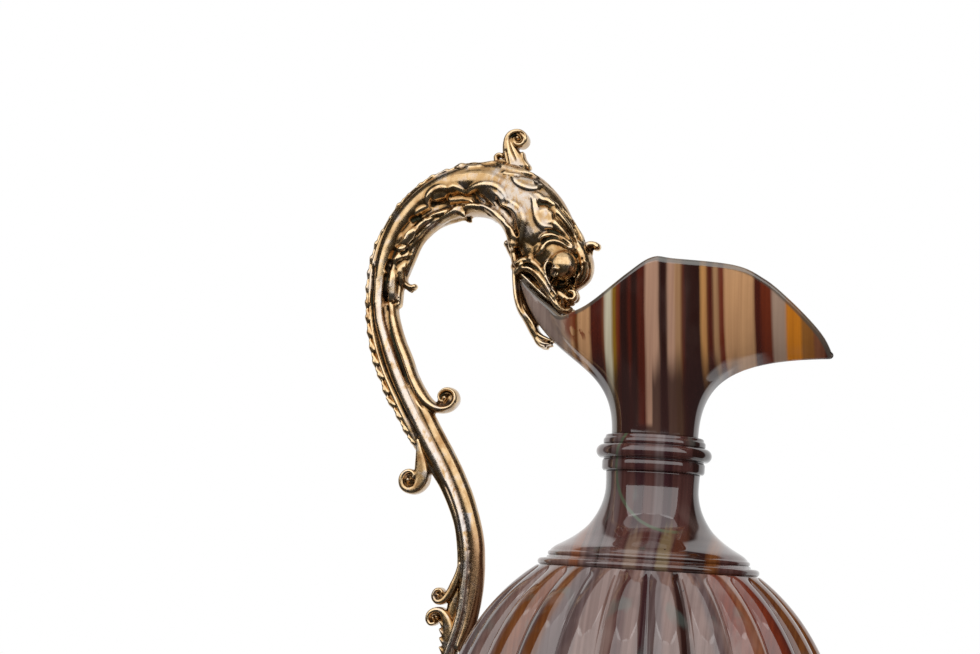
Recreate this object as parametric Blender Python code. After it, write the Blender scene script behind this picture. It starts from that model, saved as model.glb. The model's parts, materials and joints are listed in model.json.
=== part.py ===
"""Banded hardstone ewer with a cast gilt beast handle, piece by piece.

The vessel is a stack of turned and carved stone sections held on one tie bolt.
The gilt handle is an assembly of castings: its jaws bite the back of the lip,
and a screw from inside the bowl holds its foot to the body.
Frame: metres, +Z up, spout towards +X, handle towards -X, origin at the middle
of the underside.
"""

import math

import bmesh
import bpy
from mathutils import Vector

# Clearances and mesh fineness
SEAT_GAP = 0.0003
CUT_OVERRUN = 0.004
SHARP_ANGLE = math.radians(38)
TURNED_SIDES = 28
SMALL_SIDES = 16
BODY_STEPS = 12
CORE_STEPS = 36
HEAD_STEPS = 14
RIDGE_STEPS = 8

# Foot: gilt rim, base plate and stone foot
FOOT_RIM_RADIUS = 0.0352
FOOT_RIM_HEIGHT = 0.0064
FOOT_RIM_LEDGE = 0.0030
FOOT_RIM_WIDTH = 0.0082
FOOT_RIM_LIP = 0.0016
BASE_PLATE_HEIGHT = 0.0046
FOOT_HEIGHT = 0.0247
FOOT_TOP_RADIUS = 0.0100
FOOT_LOBE_DEPTH = 0.0016

# Stem: gilt ring, stone knop, gilt ring and gilt calyx
FOOT_COLLAR_HEIGHT = 0.0028
FOOT_COLLAR_RADIUS = 0.0114
KNOP_HEIGHT = 0.0124
KNOP_RADIUS = 0.0132
KNOP_END_RADIUS = 0.0094
KNOP_COLLAR_HEIGHT = 0.0024
KNOP_COLLAR_RADIUS = 0.0112
CALYX_FLOOR = 0.0039
CALYX_HEIGHT = 0.0098
CALYX_STEM_RADIUS = 0.0106
CALYX_WALL = 0.0013
PETAL_COUNT = 12

# Stone body
BODY_RADIUS = 0.0552
BODY_LOWER_HEIGHT = 0.0700
BODY_UPPER_HEIGHT = 0.0473
BODY_CROWN_HEIGHT = 0.0572
BODY_BOTTOM_RADIUS = 0.0126
BODY_MOUTH_RADIUS = 0.0210
BODY_WALL = 0.0030
BODY_FLOOR = 0.0060
LOBE_COUNT = 24
LOBE_STEPS = 4
LOBE_DEPTH = 0.0038
LOBE_ROUNDNESS = 0.86

# Stone neck with its shoulder flange
FLANGE_RADIUS = 0.0307
FLANGE_HEIGHT = 0.0025
FLANGE_STEP_RADIUS = 0.0278
FLANGE_STEP_HEIGHT = 0.0018
NECK_HEIGHT = 0.0269
NECK_WAIST_RADIUS = 0.0130
NECK_BORE_RADIUS = 0.0068
NECK_TENON_RADIUS = 0.0094
NECK_TENON_HEIGHT = 0.0120
SPIGOT_HEIGHT = 0.0050
SPIGOT_WALL = 0.0026

# Stone collar round the neck joint
COLLAR_HEIGHT = 0.0095
COLLAR_FILLET_RADIUS = 0.0143
COLLAR_BEAD_RADIUS = 0.0161
COLLAR_BEAD_HEIGHT = 0.0040

# Stone lip with its spout
LIP_BASE_RADIUS = 0.0121
LIP_RISE = 0.0477
LIP_HALF_WIDTH = 0.0220
LIP_WALL = 0.0022
SPOUT_REACH = 0.0484
BITE_REACH = 0.0408
BITE_RISE = 0.0424
LIP_SIDES = 36
LIP_RINGS = 8

# Tie bolt and what it clamps inside the bowl
BOLT_RADIUS = 0.0026
BOLT_HEAD_RADIUS = 0.0080
BOLT_HEAD_HEIGHT = 0.0018
SEAL_RADIUS = 0.0085
SEAL_HEIGHT = 0.0014
BOWL_WASHER_RADIUS = 0.0078
BOWL_WASHER_HEIGHT = 0.0012
BOWL_NUT_RADIUS = 0.0052
BOWL_NUT_HEIGHT = 0.0072
BOWL_NUT_ROOF = 0.0018

# Handle casting
HANDLE_BOW = 0.0401
HANDLE_ARCH = 0.0263
HANDLE_NECK_HALF = 0.0094
HANDLE_NECK_DEPTH = 0.0075
CREST_HALF = 0.0011
CREST_DEPTH = 0.0026
CREST_TOOTH = 0.0006
CREST_TEETH = 17
INNER_HALF = 0.0016
INNER_DEPTH = 0.0036
VOLUTE_RADIUS = 0.0037
INNER_VOLUTE_RADIUS = 0.0038
TAIL_RADIUS = 0.0026
TAIL_HALF = 0.0011
TAIL_ROOT_HALF = 0.0016
CURL_HALF = 0.0010
CURL_DEPTH = 0.0024
CREST_ROOT_HALF = 0.0027
LEAF_HALF = 0.0013
BUD_RADIUS = 0.0029

# Beast head and jaws
HEAD_LENGTH = 0.0240
HEAD_DEPTH = 0.0082
CHEEK_RADIUS = 0.0042
SOCKET_RADIUS = 0.0017
BROW_HALF = 0.0011
NOSTRIL_RADIUS = 0.0013
JAW_HALF = 0.0013
JAW_HALF_WIDTH = 0.0054
MANE_HALF = 0.0046
ACANTHUS_HALF = 0.0036

# Foot of the handle
SADDLE_HALF = 0.0013
SADDLE_HALF_WIDTH = 0.0062
SADDLE_LENGTH = 0.0200
SCREW_RADIUS = 0.0012
SCREW_HEAD_RADIUS = 0.0026
SCREW_HEAD_HEIGHT = 0.0012
SCREW_BITE = 0.0030
SCREW_WASHER_RADIUS = 0.0034
SCREW_WASHER_HEIGHT = 0.0007

# Heights of the stack, each piece one seat gap above the last
FOOT_Z = FOOT_RIM_LEDGE + SEAT_GAP
FOOT_TOP_Z = FOOT_Z + FOOT_HEIGHT
FOOT_COLLAR_Z = FOOT_TOP_Z + SEAT_GAP
KNOP_Z = FOOT_COLLAR_Z + FOOT_COLLAR_HEIGHT + SEAT_GAP
KNOP_COLLAR_Z = KNOP_Z + KNOP_HEIGHT + SEAT_GAP
CALYX_Z = KNOP_COLLAR_Z + KNOP_COLLAR_HEIGHT + SEAT_GAP
BODY_Z = CALYX_Z + CALYX_FLOOR + SEAT_GAP
WIDEST_Z = BODY_Z + BODY_LOWER_HEIGHT
BODY_TOP_Z = WIDEST_Z + BODY_UPPER_HEIGHT
FLOOR_Z = BODY_Z + BODY_FLOOR
NECK_Z = BODY_TOP_Z + SEAT_GAP
NECK_TOP_Z = NECK_Z + NECK_HEIGHT
COLLAR_Z = NECK_TOP_Z + SEAT_GAP
LIP_Z = COLLAR_Z + COLLAR_HEIGHT + SEAT_GAP
SEAL_Z = FLOOR_Z + SEAT_GAP
WASHER_Z = SEAL_Z + SEAL_HEIGHT + SEAT_GAP
NUT_Z = WASHER_Z + BOWL_WASHER_HEIGHT + SEAT_GAP
BITE_Z = LIP_Z + BITE_RISE
BOLT_HOLE_RADIUS = BOLT_RADIUS + SEAT_GAP
FOOT_RIM_BORE = FOOT_RIM_RADIUS - FOOT_RIM_WIDTH

# Middle line of the handle: height share from the widest point of the body up
# to the bite, and bow share outwards from the line that joins those two
STEM_LINE_SHARES = (
    (-0.047, 0.126), (0.000, 0.112), (0.087, 0.074), (0.173, 0.030),
    (0.240, -0.028), (0.307, -0.016), (0.386, -0.001), (0.465, 0.070),
    (0.543, 0.192), (0.618, 0.369), (0.693, 0.568), (0.776, 0.775),
    (0.862, 0.908), (0.953, 0.977), (1.000, 0.950),
)
# The arch above the bite: bow share outwards and arch share upwards
ARCH_LINE_SHARES = (
    (0.918, 0.266), (0.808, 0.540), (0.696, 0.752), (0.541, 0.915),
    (0.354, 1.000), (0.167, 0.975), (-0.025, 0.799),
)
# Half width and half depth along the whole line, as shares of the beast's neck
CORE_HALF_SHARES = (
    0.19, 0.20, 0.22, 0.25, 0.35, 0.42, 0.37, 0.36, 0.37, 0.43, 0.40,
    0.30, 0.27, 0.29, 0.47, 0.55, 0.60, 0.62, 0.67, 0.75, 0.87, 0.98,
)
CORE_DEPTH_SHARES = (
    0.44, 0.48, 0.48, 0.49, 0.52, 0.54, 0.53, 0.53, 0.55, 0.57, 0.57,
    0.57, 0.57, 0.57, 0.62, 0.70, 0.76, 0.82, 0.88, 0.93, 0.98, 1.00,
)
# Depth of the flute along each flank of the stem, fading out where the neck begins
CORE_FLUTE_SHARES = (
    0.00, 0.06, 0.10, 0.14, 0.16, 0.17, 0.17, 0.17, 0.17, 0.17, 0.17,
    0.17, 0.17, 0.16, 0.15, 0.12, 0.08, 0.04, 0.00, 0.00, 0.00, 0.00,
)
# Middle line of the head from the end of the neck to the nose, from the bite,
# with half height and half depth, as shares of the head's length and depth
HEAD_LINE_SHARES = (
    (0.221, 0.721), (0.345, 0.521), (0.425, 0.292), (0.480, 0.063), (0.550, -0.146), (0.595, -0.271),
)
HEAD_HALF_SHARES = (0.367, 0.345, 0.315, 0.265, 0.170, 0.090)
HEAD_DEPTH_SHARES = (0.98, 1.00, 0.98, 0.86, 0.66, 0.42)
# Places on each flank of the head: share of the way to the nose, then across from
# its middle line, towards the forehead or, if negative, towards the mouth
BROW_LINE_SHARES = (
    (0.470, -0.850), (0.380, -0.350), (0.345, 0.000), (0.360, 0.250), (0.410, 0.420), (0.490, 0.580),
)
JAW_ROLL_SHARES = ((0.570, -0.820), (0.700, -0.800), (0.820, -0.740), (0.940, -0.600))
CHEEK_SHARES = (0.600, 0.220)
SOCKET_SHARES = (0.590, -0.300)
NOSTRIL_SHARES = (0.860, -0.300)
CHEEK_SINK_SHARE = 0.45
SOCKET_SINK_SHARE = 0.15
# Lower jaw, brow curl and mane fins from the bite, as shares of the head's length
JAW_LINE_SHARES = (
    (-0.030, 0.160), (-0.035, 0.020), (-0.020, -0.170), (0.030, -0.330), (0.110, -0.470),
    (0.200, -0.600), (0.280, -0.710), (0.360, -0.745),
)
BROW_CURL_SHARES = ((0.720, 0.340), (0.790, 0.470), (0.900, 0.500), (0.930, 0.450))
MANE_LINE_SHARES = ((0.590, 0.580), (0.320, 0.830), (0.020, 1.080))
MANE_RISE_SHARE = 0.40
# Centres of the volutes, as shares like those of the middle line
CREST_VOLUTE_SHARES = (0.546, 0.527)
INNER_VOLUTE_SHARES = (0.727, 0.353)
TAIL_UPPER_VOLUTE_SHARES = (0.296, 0.176)
TAIL_LOWER_VOLUTE_SHARES = (0.236, 0.205)
CREST_CURL_SHARES = (0.105, 1.552)
# Leaves and curls placed from the bite by bow share and arch share
THROAT_CURL_SHARES = ((0.110, 0.480), (0.082, 0.430), (0.122, 0.390))
INNER_LEAF_TIP_SHARES = (0.757, -0.100)
ACANTHUS_LINE_SHARES = ((0.720, 0.870), (0.520, 0.900), (0.360, 0.870))
ACANTHUS_RISE_SHARE = 0.85
# Where things start and end along the chosen points of the middle line
CREST_PLACE_SHARES = (18.2, 9.3)
INNER_PLACE_SHARES = (13.6, 10.9)
TAIL_UPPER_PLACE_SHARES = (5.70, 5.35, 5.00)
TAIL_LOWER_PLACE_SHARES = (2.90, 3.30, 3.70)
INNER_LEAF_PLACE_SHARES = (15.6, 15.1, 14.6)
DORSAL_BACK_SHARES = (18.3, 19.45)
DORSAL_FRONT_SHARES = (20.1, 20.9)
CREST_CURL_PLACE_SHARE = 19.9
PLACE_STEP_SHARE = 0.05
HEAD_STEP_SHARE = 0.02
# Small shares of shape
KNOP_SHOULDER_SHARE = 0.06
PETAL_NOTCH_SHARE = 0.42
LEAF_LOBE_SHARE = 0.16
CURL_END_SHARE = 0.66
SPIRAL_END_SHARE = 0.44
CREST_LEAD_SHARES = (0.35, 0.70)
CREST_CURL_LEAD_SHARE = 0.55
NUT_DOME_SHARE = 0.92
SADDLE_BELOW_SHARE = 0.60
SADDLE_OUTLINE_SHARES = (0.10, 0.85)
LEAF_OUTLINE_SHARES = (0.12, 0.92)
BAND_END_SHARE = 0.90
WEB_DEPTH_SHARE = 0.62
WEB_EDGE_SHARE = 0.60
EYE_SHARE = 0.30
CURLED_TIP_SHARE = 0.55
JAW_WIDTH_SHARES = (1.15, 0.80)
COLLAR_MIDDLE_SHARE = 0.53
FOOT_SWEEP_SHARE = 0.42
LOBE_FADE_SHARES = (0.12, 0.035)
# Rim of the lip, from the spout's tip round one side to the bite: reach share
# (of the spout or of the bite), half-width share, and rise share
RIM_SHARES = (
    (1.000, 0.000, 0.501), (0.955, 0.159, 0.593), (0.888, 0.295, 0.677),
    (0.758, 0.514, 0.801), (0.618, 0.695, 0.908), (0.448, 0.855, 0.975),
    (0.110, 1.000, 0.994), (-0.029, 0.968, 1.000), (-0.196, 0.877, 0.910),
    (-0.434, 0.659, 0.759), (-0.569, 0.500, 0.702), (-0.694, 0.364, 0.677),
    (-0.814, 0.250, 0.765), (-0.975, 0.205, 0.885), (-1.000, 0.000, 0.889),
)
# How a meridian of the lip leaves the neck and reaches the rim, at the spout,
# the sides and the bite: lift, second rise and second reach
MERIDIAN_SHARES = ((0.335, 0.474, 0.23), (0.315, 0.470, 1.05), (0.480, 0.360, 0.74))


def metal(name, colour, roughness):
    """Gilt or bare metal."""
    return plain_material(name, colour, roughness, metallic=1.0)


def plain_material(name, colour, roughness, metallic=0.0):
    material = bpy.data.materials.new(name)
    material.use_nodes = True
    shader = material.node_tree.nodes["Principled BSDF"]
    shader.inputs["Base Color"].default_value = (*colour, 1.0)
    shader.inputs["Roughness"].default_value = roughness
    shader.inputs["Metallic"].default_value = metallic
    material.diffuse_color = (*colour, 1.0)
    return material


def finish_mesh(name, bm, material):
    """Turn a bmesh into a named object with outward faces and smooth shading."""
    bmesh.ops.recalc_face_normals(bm, faces=bm.faces)
    mesh = bpy.data.meshes.new(name)
    bm.to_mesh(mesh)
    bm.free()
    mesh.shade_smooth()
    mesh.set_sharp_from_angle(angle=SHARP_ANGLE)
    if material:
        mesh.materials.append(material)
    obj = bpy.data.objects.new(name, mesh)
    bpy.context.collection.objects.link(obj)
    return obj


def as_cutter(obj):
    obj.hide_render = True
    obj.display_type = "WIRE"
    return obj


def boolean(obj, operation, other):
    modifier = obj.modifiers.new(operation.lower() + "_" + other.name, "BOOLEAN")
    modifier.operation = operation
    modifier.object = other
    modifier.solver = "EXACT"
    return obj


def cut(obj, *cutters):
    for cutter in cutters:
        boolean(obj, "DIFFERENCE", cutter)
    return obj


def join(obj, *others):
    """Union other solids into this one, each of them then only a guide."""
    for other in others:
        boolean(obj, "UNION", as_cutter(other))
    return obj


def loft(name, rings, material=None, closed=False):
    """Bridge rings of points; ends are capped unless the loft closes on itself."""
    bm = bmesh.new()
    made = [[bm.verts.new(point) for point in ring] for ring in rings]
    count = len(made[0])
    pairs = list(zip(made, made[1:]))
    if closed:
        pairs.append((made[-1], made[0]))
    for low, high in pairs:
        for i in range(count):
            j = (i + 1) % count
            bm.faces.new((low[i], low[j], high[j], high[i]))
    if not closed:
        bm.faces.new(made[0])
        bm.faces.new(made[-1])
    return finish_mesh(name, bm, material)


def ring_at(radius, z, sides, ripple=None):
    """Points of one turned ring, with an optional ripple of its radius by angle."""
    points = []
    for i in range(sides):
        angle = 2 * math.pi * i / sides
        r = radius - (ripple(angle, z) if ripple else 0)
        points.append(Vector((r * math.cos(angle), r * math.sin(angle), z)))
    return points


def turned(name, profile, material=None, sides=TURNED_SIDES):
    """Turn a closed half section that has a bore, given as (radius, height)."""
    return loft(name, [ring_at(r, z, sides) for r, z in profile], material, closed=True)


def turned_solid(name, profile, material=None, sides=TURNED_SIDES, ripple=None):
    """Turn an open profile into a solid with flat ends."""
    return loft(name, [ring_at(r, z, sides, ripple) for r, z in profile], material)


def arc(centre, radius, start, end, steps):
    """Points (radius, height) on an arc of a turned profile, angles in degrees."""
    points = []
    for i in range(steps + 1):
        angle = math.radians(start + (end - start) * i / steps)
        points.append((centre[0] + radius * math.cos(angle), centre[1] + radius * math.sin(angle)))
    return points


def disc(name, radius, low, high, material=None, sides=SMALL_SIDES):
    return turned_solid(name, [(radius, low), (radius, high)], material, sides)


def holed_disc(name, radius, bore, low, high, material):
    """Flat ring such as a washer or a seal."""
    profile = [(radius, low), (radius, high), (bore, high), (bore, low)]
    return turned(name, profile, material, SMALL_SIDES)


def bar(name, radius, start, end, sides=SMALL_SIDES):
    """Round bar between two points."""
    axis = (end - start).normalized()
    side = axis.orthogonal().normalized()
    up = axis.cross(side)
    rings = []
    for centre in (start, end):
        angles = [2 * math.pi * i / sides for i in range(sides)]
        rings.append([centre + side * radius * math.cos(a) + up * radius * math.sin(a) for a in angles])
    return loft(name, rings)


def ball(name, centre, radius, squash=1.0):
    """Faceted ball, flattened along Y by the squash."""
    bm = bmesh.new()
    bmesh.ops.create_uvsphere(bm, u_segments=8, v_segments=6, radius=radius)
    for vert in bm.verts:
        vert.co = centre + Vector((vert.co.x, vert.co.y * squash, vert.co.z))
    return finish_mesh(name, bm, None)


def curve_point(points, t):
    """Smooth curve through a list of points or numbers, t from 0 to 1."""
    last = len(points) - 1
    place = min(max(t, 0), 1) * last
    i = min(int(place), last - 1)
    f = place - i
    p1, p2 = points[i], points[i + 1]
    p0 = points[i - 1] if i > 0 else p1 * 2 - p2
    p3 = points[i + 2] if i + 2 <= last else p2 * 2 - p1
    a = p1 * 2
    b = p2 - p0
    c = p0 * 2 - p1 * 5 + p2 * 4 - p3
    d = p1 * 3 - p0 - p2 * 3 + p3
    return (a + b * f + c * f * f + d * f * f * f) * 0.5


def upright(x, z, y=0):
    return Vector((x, y, z))


def tangent_at(path, i):
    before = path[max(i - 1, 0)]
    after = path[min(i + 1, len(path) - 1)]
    return (after - before).normalized()


def square_to(along):
    """Upright unit vector on the left of a direction."""
    return Vector((-along.z, 0, along.x))


def swept(name, path, halves, depths, material=None, sides=8, ends=0.55, first=None, last=None,
          flutes=None):
    """Sweep a rounded section along an upright path.

    halves and depths are half sizes across the path and along Y, one for each
    point of the path; ends is how far the two end rings draw in; first and last
    are the directions that the end rings face, where they aren't the path's own;
    flutes, one for each point, sink one corner of the section on both flanks.
    """
    fluted = (sides // 4, sides - 1 - sides // 4)
    rings = []
    for i, centre in enumerate(path):
        shrink = ends if i in (0, len(path) - 1) else 1
        along = tangent_at(path, i)
        if first and i == 0:
            along = first
        if last and i == len(path) - 1:
            along = last
        side = square_to(along) * halves[i] * shrink
        deep = Vector((0, depths[i] * shrink, 0))
        angles = [2 * math.pi * (k + 0.5) / sides for k in range(sides)]
        ring = [side * math.cos(a) + deep * math.sin(a) for a in angles]
        if flutes:
            for k in fluted:
                ring[k] *= 1 - flutes[i]
        rings.append([centre + corner for corner in ring])
    return loft(name, rings, material)


def spiral(centre, radius, end_radius, start, turn, steps):
    """Points of a flat upright spiral; angles in degrees, turn signed."""
    points = []
    for i in range(steps + 1):
        t = i / steps
        angle = math.radians(start + turn * t)
        r = radius + (end_radius - radius) * t
        points.append(centre + Vector((r * math.cos(angle), 0, r * math.sin(angle))))
    return points


def taper(start, end, count):
    return [start + (end - start) * i / (count - 1) for i in range(count)]


def scroll(name, lead, centre, radius, half, depth, start, turn, material, root=None):
    """Band that follows its lead and curls round a raised eye on a thin web.

    root is the band's half width where the lead starts, if that isn't its own.
    """
    curl = spiral(centre, radius - half, radius * SPIRAL_END_SHARE, start, turn, 10)
    path = lead + curl
    halves = taper(root or half, half, len(lead)) + taper(half, half * CURL_END_SHARE, len(curl))
    obj = swept(name, path, halves, taper(depth, depth * BAND_END_SHARE, len(path)), material)
    thin = Vector((0, depth * WEB_DEPTH_SHARE, 0))
    web = bar(name + "_web", radius - half * WEB_EDGE_SHARE, centre - thin, centre + thin, 12)
    eye = ball(name + "_eye", centre, radius * EYE_SHARE, depth / (radius * EYE_SHARE))
    return join(obj, web, eye)


def body_radius(z):
    """Outer radius of the body over its ridges."""
    if z >= WIDEST_Z:
        rise = (z - WIDEST_Z) / BODY_CROWN_HEIGHT
        return BODY_RADIUS * math.sqrt(1 - rise * rise)
    share = max((z - BODY_Z) / BODY_LOWER_HEIGHT, 0)
    swell = math.sin(share * math.pi / 2) ** 0.85
    return BODY_BOTTOM_RADIUS + (BODY_RADIUS - BODY_BOTTOM_RADIUS) * swell


def lobe_valley(angle):
    """Depth below the ridge of a convex lobe, 0 on the ridge and 1 in the valley."""
    place = (angle * LOBE_COUNT / (2 * math.pi)) % 1
    across = (2 * place if place < 0.5 else 2 * place - 2) * LOBE_ROUNDNESS
    deepest = 1 - math.sqrt(1 - LOBE_ROUNDNESS ** 2)
    return (1 - math.sqrt(1 - across * across)) / deepest


def body_lobes(angle, z):
    """How far the surface lies inside the ridge radius, fading at both ends."""
    share = (z - BODY_Z) / (BODY_TOP_Z - BODY_Z)
    fade = min(share / LOBE_FADE_SHARES[0], (1 - share) / LOBE_FADE_SHARES[1], 1)
    return LOBE_DEPTH * body_radius(z) / BODY_RADIUS * max(fade, 0) * lobe_valley(angle)


def body_heights(low, high, steps):
    """Heights that share out the body's curve, with one at its widest."""
    half = steps // 2
    below = [low + (WIDEST_Z - low) * i / half for i in range(half + 1)]
    last_turn = math.asin((high - WIDEST_Z) / BODY_CROWN_HEIGHT)
    above = [WIDEST_Z + BODY_CROWN_HEIGHT * math.sin(last_turn * i / half) for i in range(1, half)]
    return below + above + [high]


def make_body(material):
    heights = body_heights(BODY_Z, BODY_TOP_Z, BODY_STEPS)
    profile = [(body_radius(z), z) for z in heights]
    body = turned_solid("body", profile, material, LOBE_COUNT * LOBE_STEPS, body_lobes)
    inner = []
    for z in body_heights(FLOOR_Z, BODY_TOP_Z - SPIGOT_HEIGHT, 8):
        inner.append((max(body_radius(z) - LOBE_DEPTH - BODY_WALL, BODY_MOUTH_RADIUS / 2), z))
    inner.append((BODY_MOUTH_RADIUS, BODY_TOP_Z - SPIGOT_HEIGHT + CUT_OVERRUN / 4))
    inner.append((BODY_MOUTH_RADIUS, BODY_TOP_Z + CUT_OVERRUN))
    cavity = as_cutter(turned_solid("body_cavity_cutter", inner))
    cut(body, cavity, BOLT_HOLE, SCREW_HOLE, SPOT_FACE)
    return body


def make_body_clearance():
    """The body's outside, one seat gap larger, that seats what lies on it."""
    profile = [(body_radius(z) + SEAT_GAP, z) for z in body_heights(BODY_Z, BODY_TOP_Z, BODY_STEPS)]
    return as_cutter(turned_solid("body_clearance_cutter", profile))


def make_foot_rim(material):
    step = FOOT_RIM_HEIGHT / 8
    lip = FOOT_RIM_RADIUS - FOOT_RIM_LIP - step
    profile = [(FOOT_RIM_BORE, 0), (FOOT_RIM_RADIUS - step, 0), (FOOT_RIM_RADIUS, step)]
    profile += arc((FOOT_RIM_RADIUS - step, 3 * step), step, -60, 60, 2)
    profile += arc((FOOT_RIM_RADIUS - step, 5.4 * step), step * 0.8, -60, 60, 2)
    profile += [(FOOT_RIM_RADIUS - step * 1.6, FOOT_RIM_HEIGHT), (lip, FOOT_RIM_HEIGHT)]
    profile += [(lip, FOOT_RIM_LEDGE), (FOOT_RIM_BORE, FOOT_RIM_LEDGE)]
    return turned("foot_rim", profile, material)


def foot_lobes(angle, z):
    share = (z - FOOT_Z) / FOOT_HEIGHT
    fade = max(min((share - 0.16) / 0.12, (0.86 - share) / 0.2, 1), 0)
    return FOOT_LOBE_DEPTH * fade * lobe_valley(angle)


def make_foot(material):
    """Domed stone foot that sweeps up to the stem."""
    edge = FOOT_RIM_RADIUS - FOOT_RIM_LIP - FOOT_RIM_HEIGHT / 8 - SEAT_GAP
    rise = FOOT_RIM_HEIGHT - FOOT_RIM_LEDGE
    profile = [(edge, FOOT_Z), (edge, FOOT_Z + rise), (edge - rise / 3, FOOT_Z + rise * 1.2)]
    start_r, start_z = profile[-1]
    for i in range(1, 7):
        t = i / 6
        sweep = math.sin(t * math.pi / 2) ** 1.35
        r = start_r + (FOOT_TOP_RADIUS - start_r) * sweep
        z = start_z + (FOOT_TOP_Z - start_z) * (FOOT_SWEEP_SHARE * t + (1 - FOOT_SWEEP_SHARE) * t ** 3)
        profile.append((r, z))
    foot = turned_solid("foot", profile, material, LOBE_COUNT * 2, foot_lobes)
    recess = disc("foot_recess_cutter", FOOT_RIM_BORE, FOOT_Z - CUT_OVERRUN,
                  BASE_PLATE_HEIGHT + SEAT_GAP, sides=TURNED_SIDES)
    return cut(foot, as_cutter(recess), BOLT_HOLE)


def make_base_plate(material):
    """Plate under the hollow of the foot, sunk for the bolt's flush head."""
    outer = FOOT_RIM_BORE - SEAT_GAP
    head = BOLT_HEAD_RADIUS + SEAT_GAP
    seat = BOLT_HEAD_HEIGHT + SEAT_GAP
    profile = [(head, 0), (outer, 0), (outer, BASE_PLATE_HEIGHT), (BOLT_HOLE_RADIUS, BASE_PLATE_HEIGHT)]
    profile += [(BOLT_HOLE_RADIUS, seat), (head, seat)]
    return turned("base_plate", profile, material)


def beaded_ring(name, radius, low, height, material):
    """Gilt ring with a round bead between two flat fillets."""
    fillet = radius - height / 3
    profile = [(BOLT_HOLE_RADIUS, low), (fillet, low), (fillet, low + height / 6)]
    profile += arc((radius - height / 3, low + height / 2), height / 3, -50, 50, 2)
    profile += [(fillet, low + height * 5 / 6), (fillet, low + height), (BOLT_HOLE_RADIUS, low + height)]
    return turned(name, profile, material, SMALL_SIDES + 8)


def make_knop(material):
    profile = [(BOLT_HOLE_RADIUS, KNOP_Z), (KNOP_END_RADIUS, KNOP_Z)]
    shoulder = KNOP_SHOULDER_SHARE
    for i in range(7):
        t = i / 6
        swell = math.sin(math.pi * t) ** 0.7
        profile.append((KNOP_END_RADIUS + (KNOP_RADIUS - KNOP_END_RADIUS) * swell,
                        KNOP_Z + KNOP_HEIGHT * (shoulder + (1 - 2 * shoulder) * t)))
    profile += [(KNOP_END_RADIUS, KNOP_Z + KNOP_HEIGHT), (BOLT_HOLE_RADIUS, KNOP_Z + KNOP_HEIGHT)]
    return turned("stem_knop", profile, material)


def petal_height(angle, share):
    """Height on the calyx above its floor; the rim dips between two petals."""
    across = math.sin(angle * PETAL_COUNT / 2) ** 2
    rise = (CALYX_HEIGHT - CALYX_FLOOR) * share
    return CALYX_Z + CALYX_FLOOR + rise * (1 - PETAL_NOTCH_SHARE * across ** 3)


def make_calyx(material):
    """Cup of plain petals that holds the bottom of the body."""
    sides = PETAL_COUNT * 4
    angles = [2 * math.pi * i / sides for i in range(sides)]
    floor = CALYX_Z + CALYX_FLOOR

    def petal_ring(share, thickness):
        ring = []
        for angle in angles:
            z = petal_height(angle, share)
            radius = body_radius(max(z, BODY_Z)) + SEAT_GAP + thickness
            ring.append(Vector((radius * math.cos(angle), radius * math.sin(angle), z)))
        return ring

    rings = [ring_at(BOLT_HOLE_RADIUS, CALYX_Z, sides), ring_at(CALYX_STEM_RADIUS, CALYX_Z, sides)]
    rings.append(ring_at(CALYX_STEM_RADIUS, CALYX_Z + CALYX_FLOOR / 3, sides))
    rings += [petal_ring(share, CALYX_WALL) for share in (1 / 6, 1 / 2, 5 / 6)]
    rings.append(petal_ring(1, CALYX_WALL / 2))
    rings += [petal_ring(share, 0) for share in (5 / 6, 1 / 2, 1 / 6)]
    rings.append(ring_at(body_radius(BODY_Z) + SEAT_GAP, floor, sides))
    rings.append(ring_at(BOLT_HOLE_RADIUS, floor, sides))
    return loft("body_calyx", rings, material, closed=True)


def make_neck(material):
    """Neck and shoulder flange in one, with a spigot below and a tenon above."""
    spigot = BODY_MOUTH_RADIUS - SEAT_GAP
    step_z = NECK_Z + FLANGE_HEIGHT
    cove_z = step_z + FLANGE_STEP_HEIGHT
    round_edge = FLANGE_HEIGHT / 2
    profile = [(spigot - SPIGOT_WALL, NECK_Z - SPIGOT_HEIGHT), (spigot, NECK_Z - SPIGOT_HEIGHT)]
    profile += [(spigot, NECK_Z)]
    profile += arc((FLANGE_RADIUS - round_edge, NECK_Z + round_edge), round_edge, -70, 70, 3)
    profile += [(FLANGE_STEP_RADIUS, step_z)]
    profile += arc((FLANGE_STEP_RADIUS - FLANGE_STEP_HEIGHT / 2, cove_z - FLANGE_STEP_HEIGHT / 2),
                   FLANGE_STEP_HEIGHT / 2, -20, 80, 2)
    rise = NECK_TOP_Z - cove_z
    for i in range(1, 8):
        t = i / 7
        sweep = math.exp(-4.3 * t) * (1 - t)
        r = NECK_WAIST_RADIUS + (FLANGE_STEP_RADIUS - NECK_WAIST_RADIUS) * sweep
        profile.append((r, cove_z + rise * t))
    profile += [(NECK_TENON_RADIUS, NECK_TOP_Z), (NECK_TENON_RADIUS, NECK_TOP_Z + NECK_TENON_HEIGHT)]
    profile += [(NECK_BORE_RADIUS, NECK_TOP_Z + NECK_TENON_HEIGHT), (NECK_BORE_RADIUS, NECK_TOP_Z)]
    for i in range(1, 4):
        t = i / 3
        flare = NECK_BORE_RADIUS + (spigot - SPIGOT_WALL - NECK_BORE_RADIUS) * t ** 3
        profile.append((flare, NECK_TOP_Z + (NECK_Z - NECK_TOP_Z) * t))
    return turned("neck", profile, material)


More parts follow.
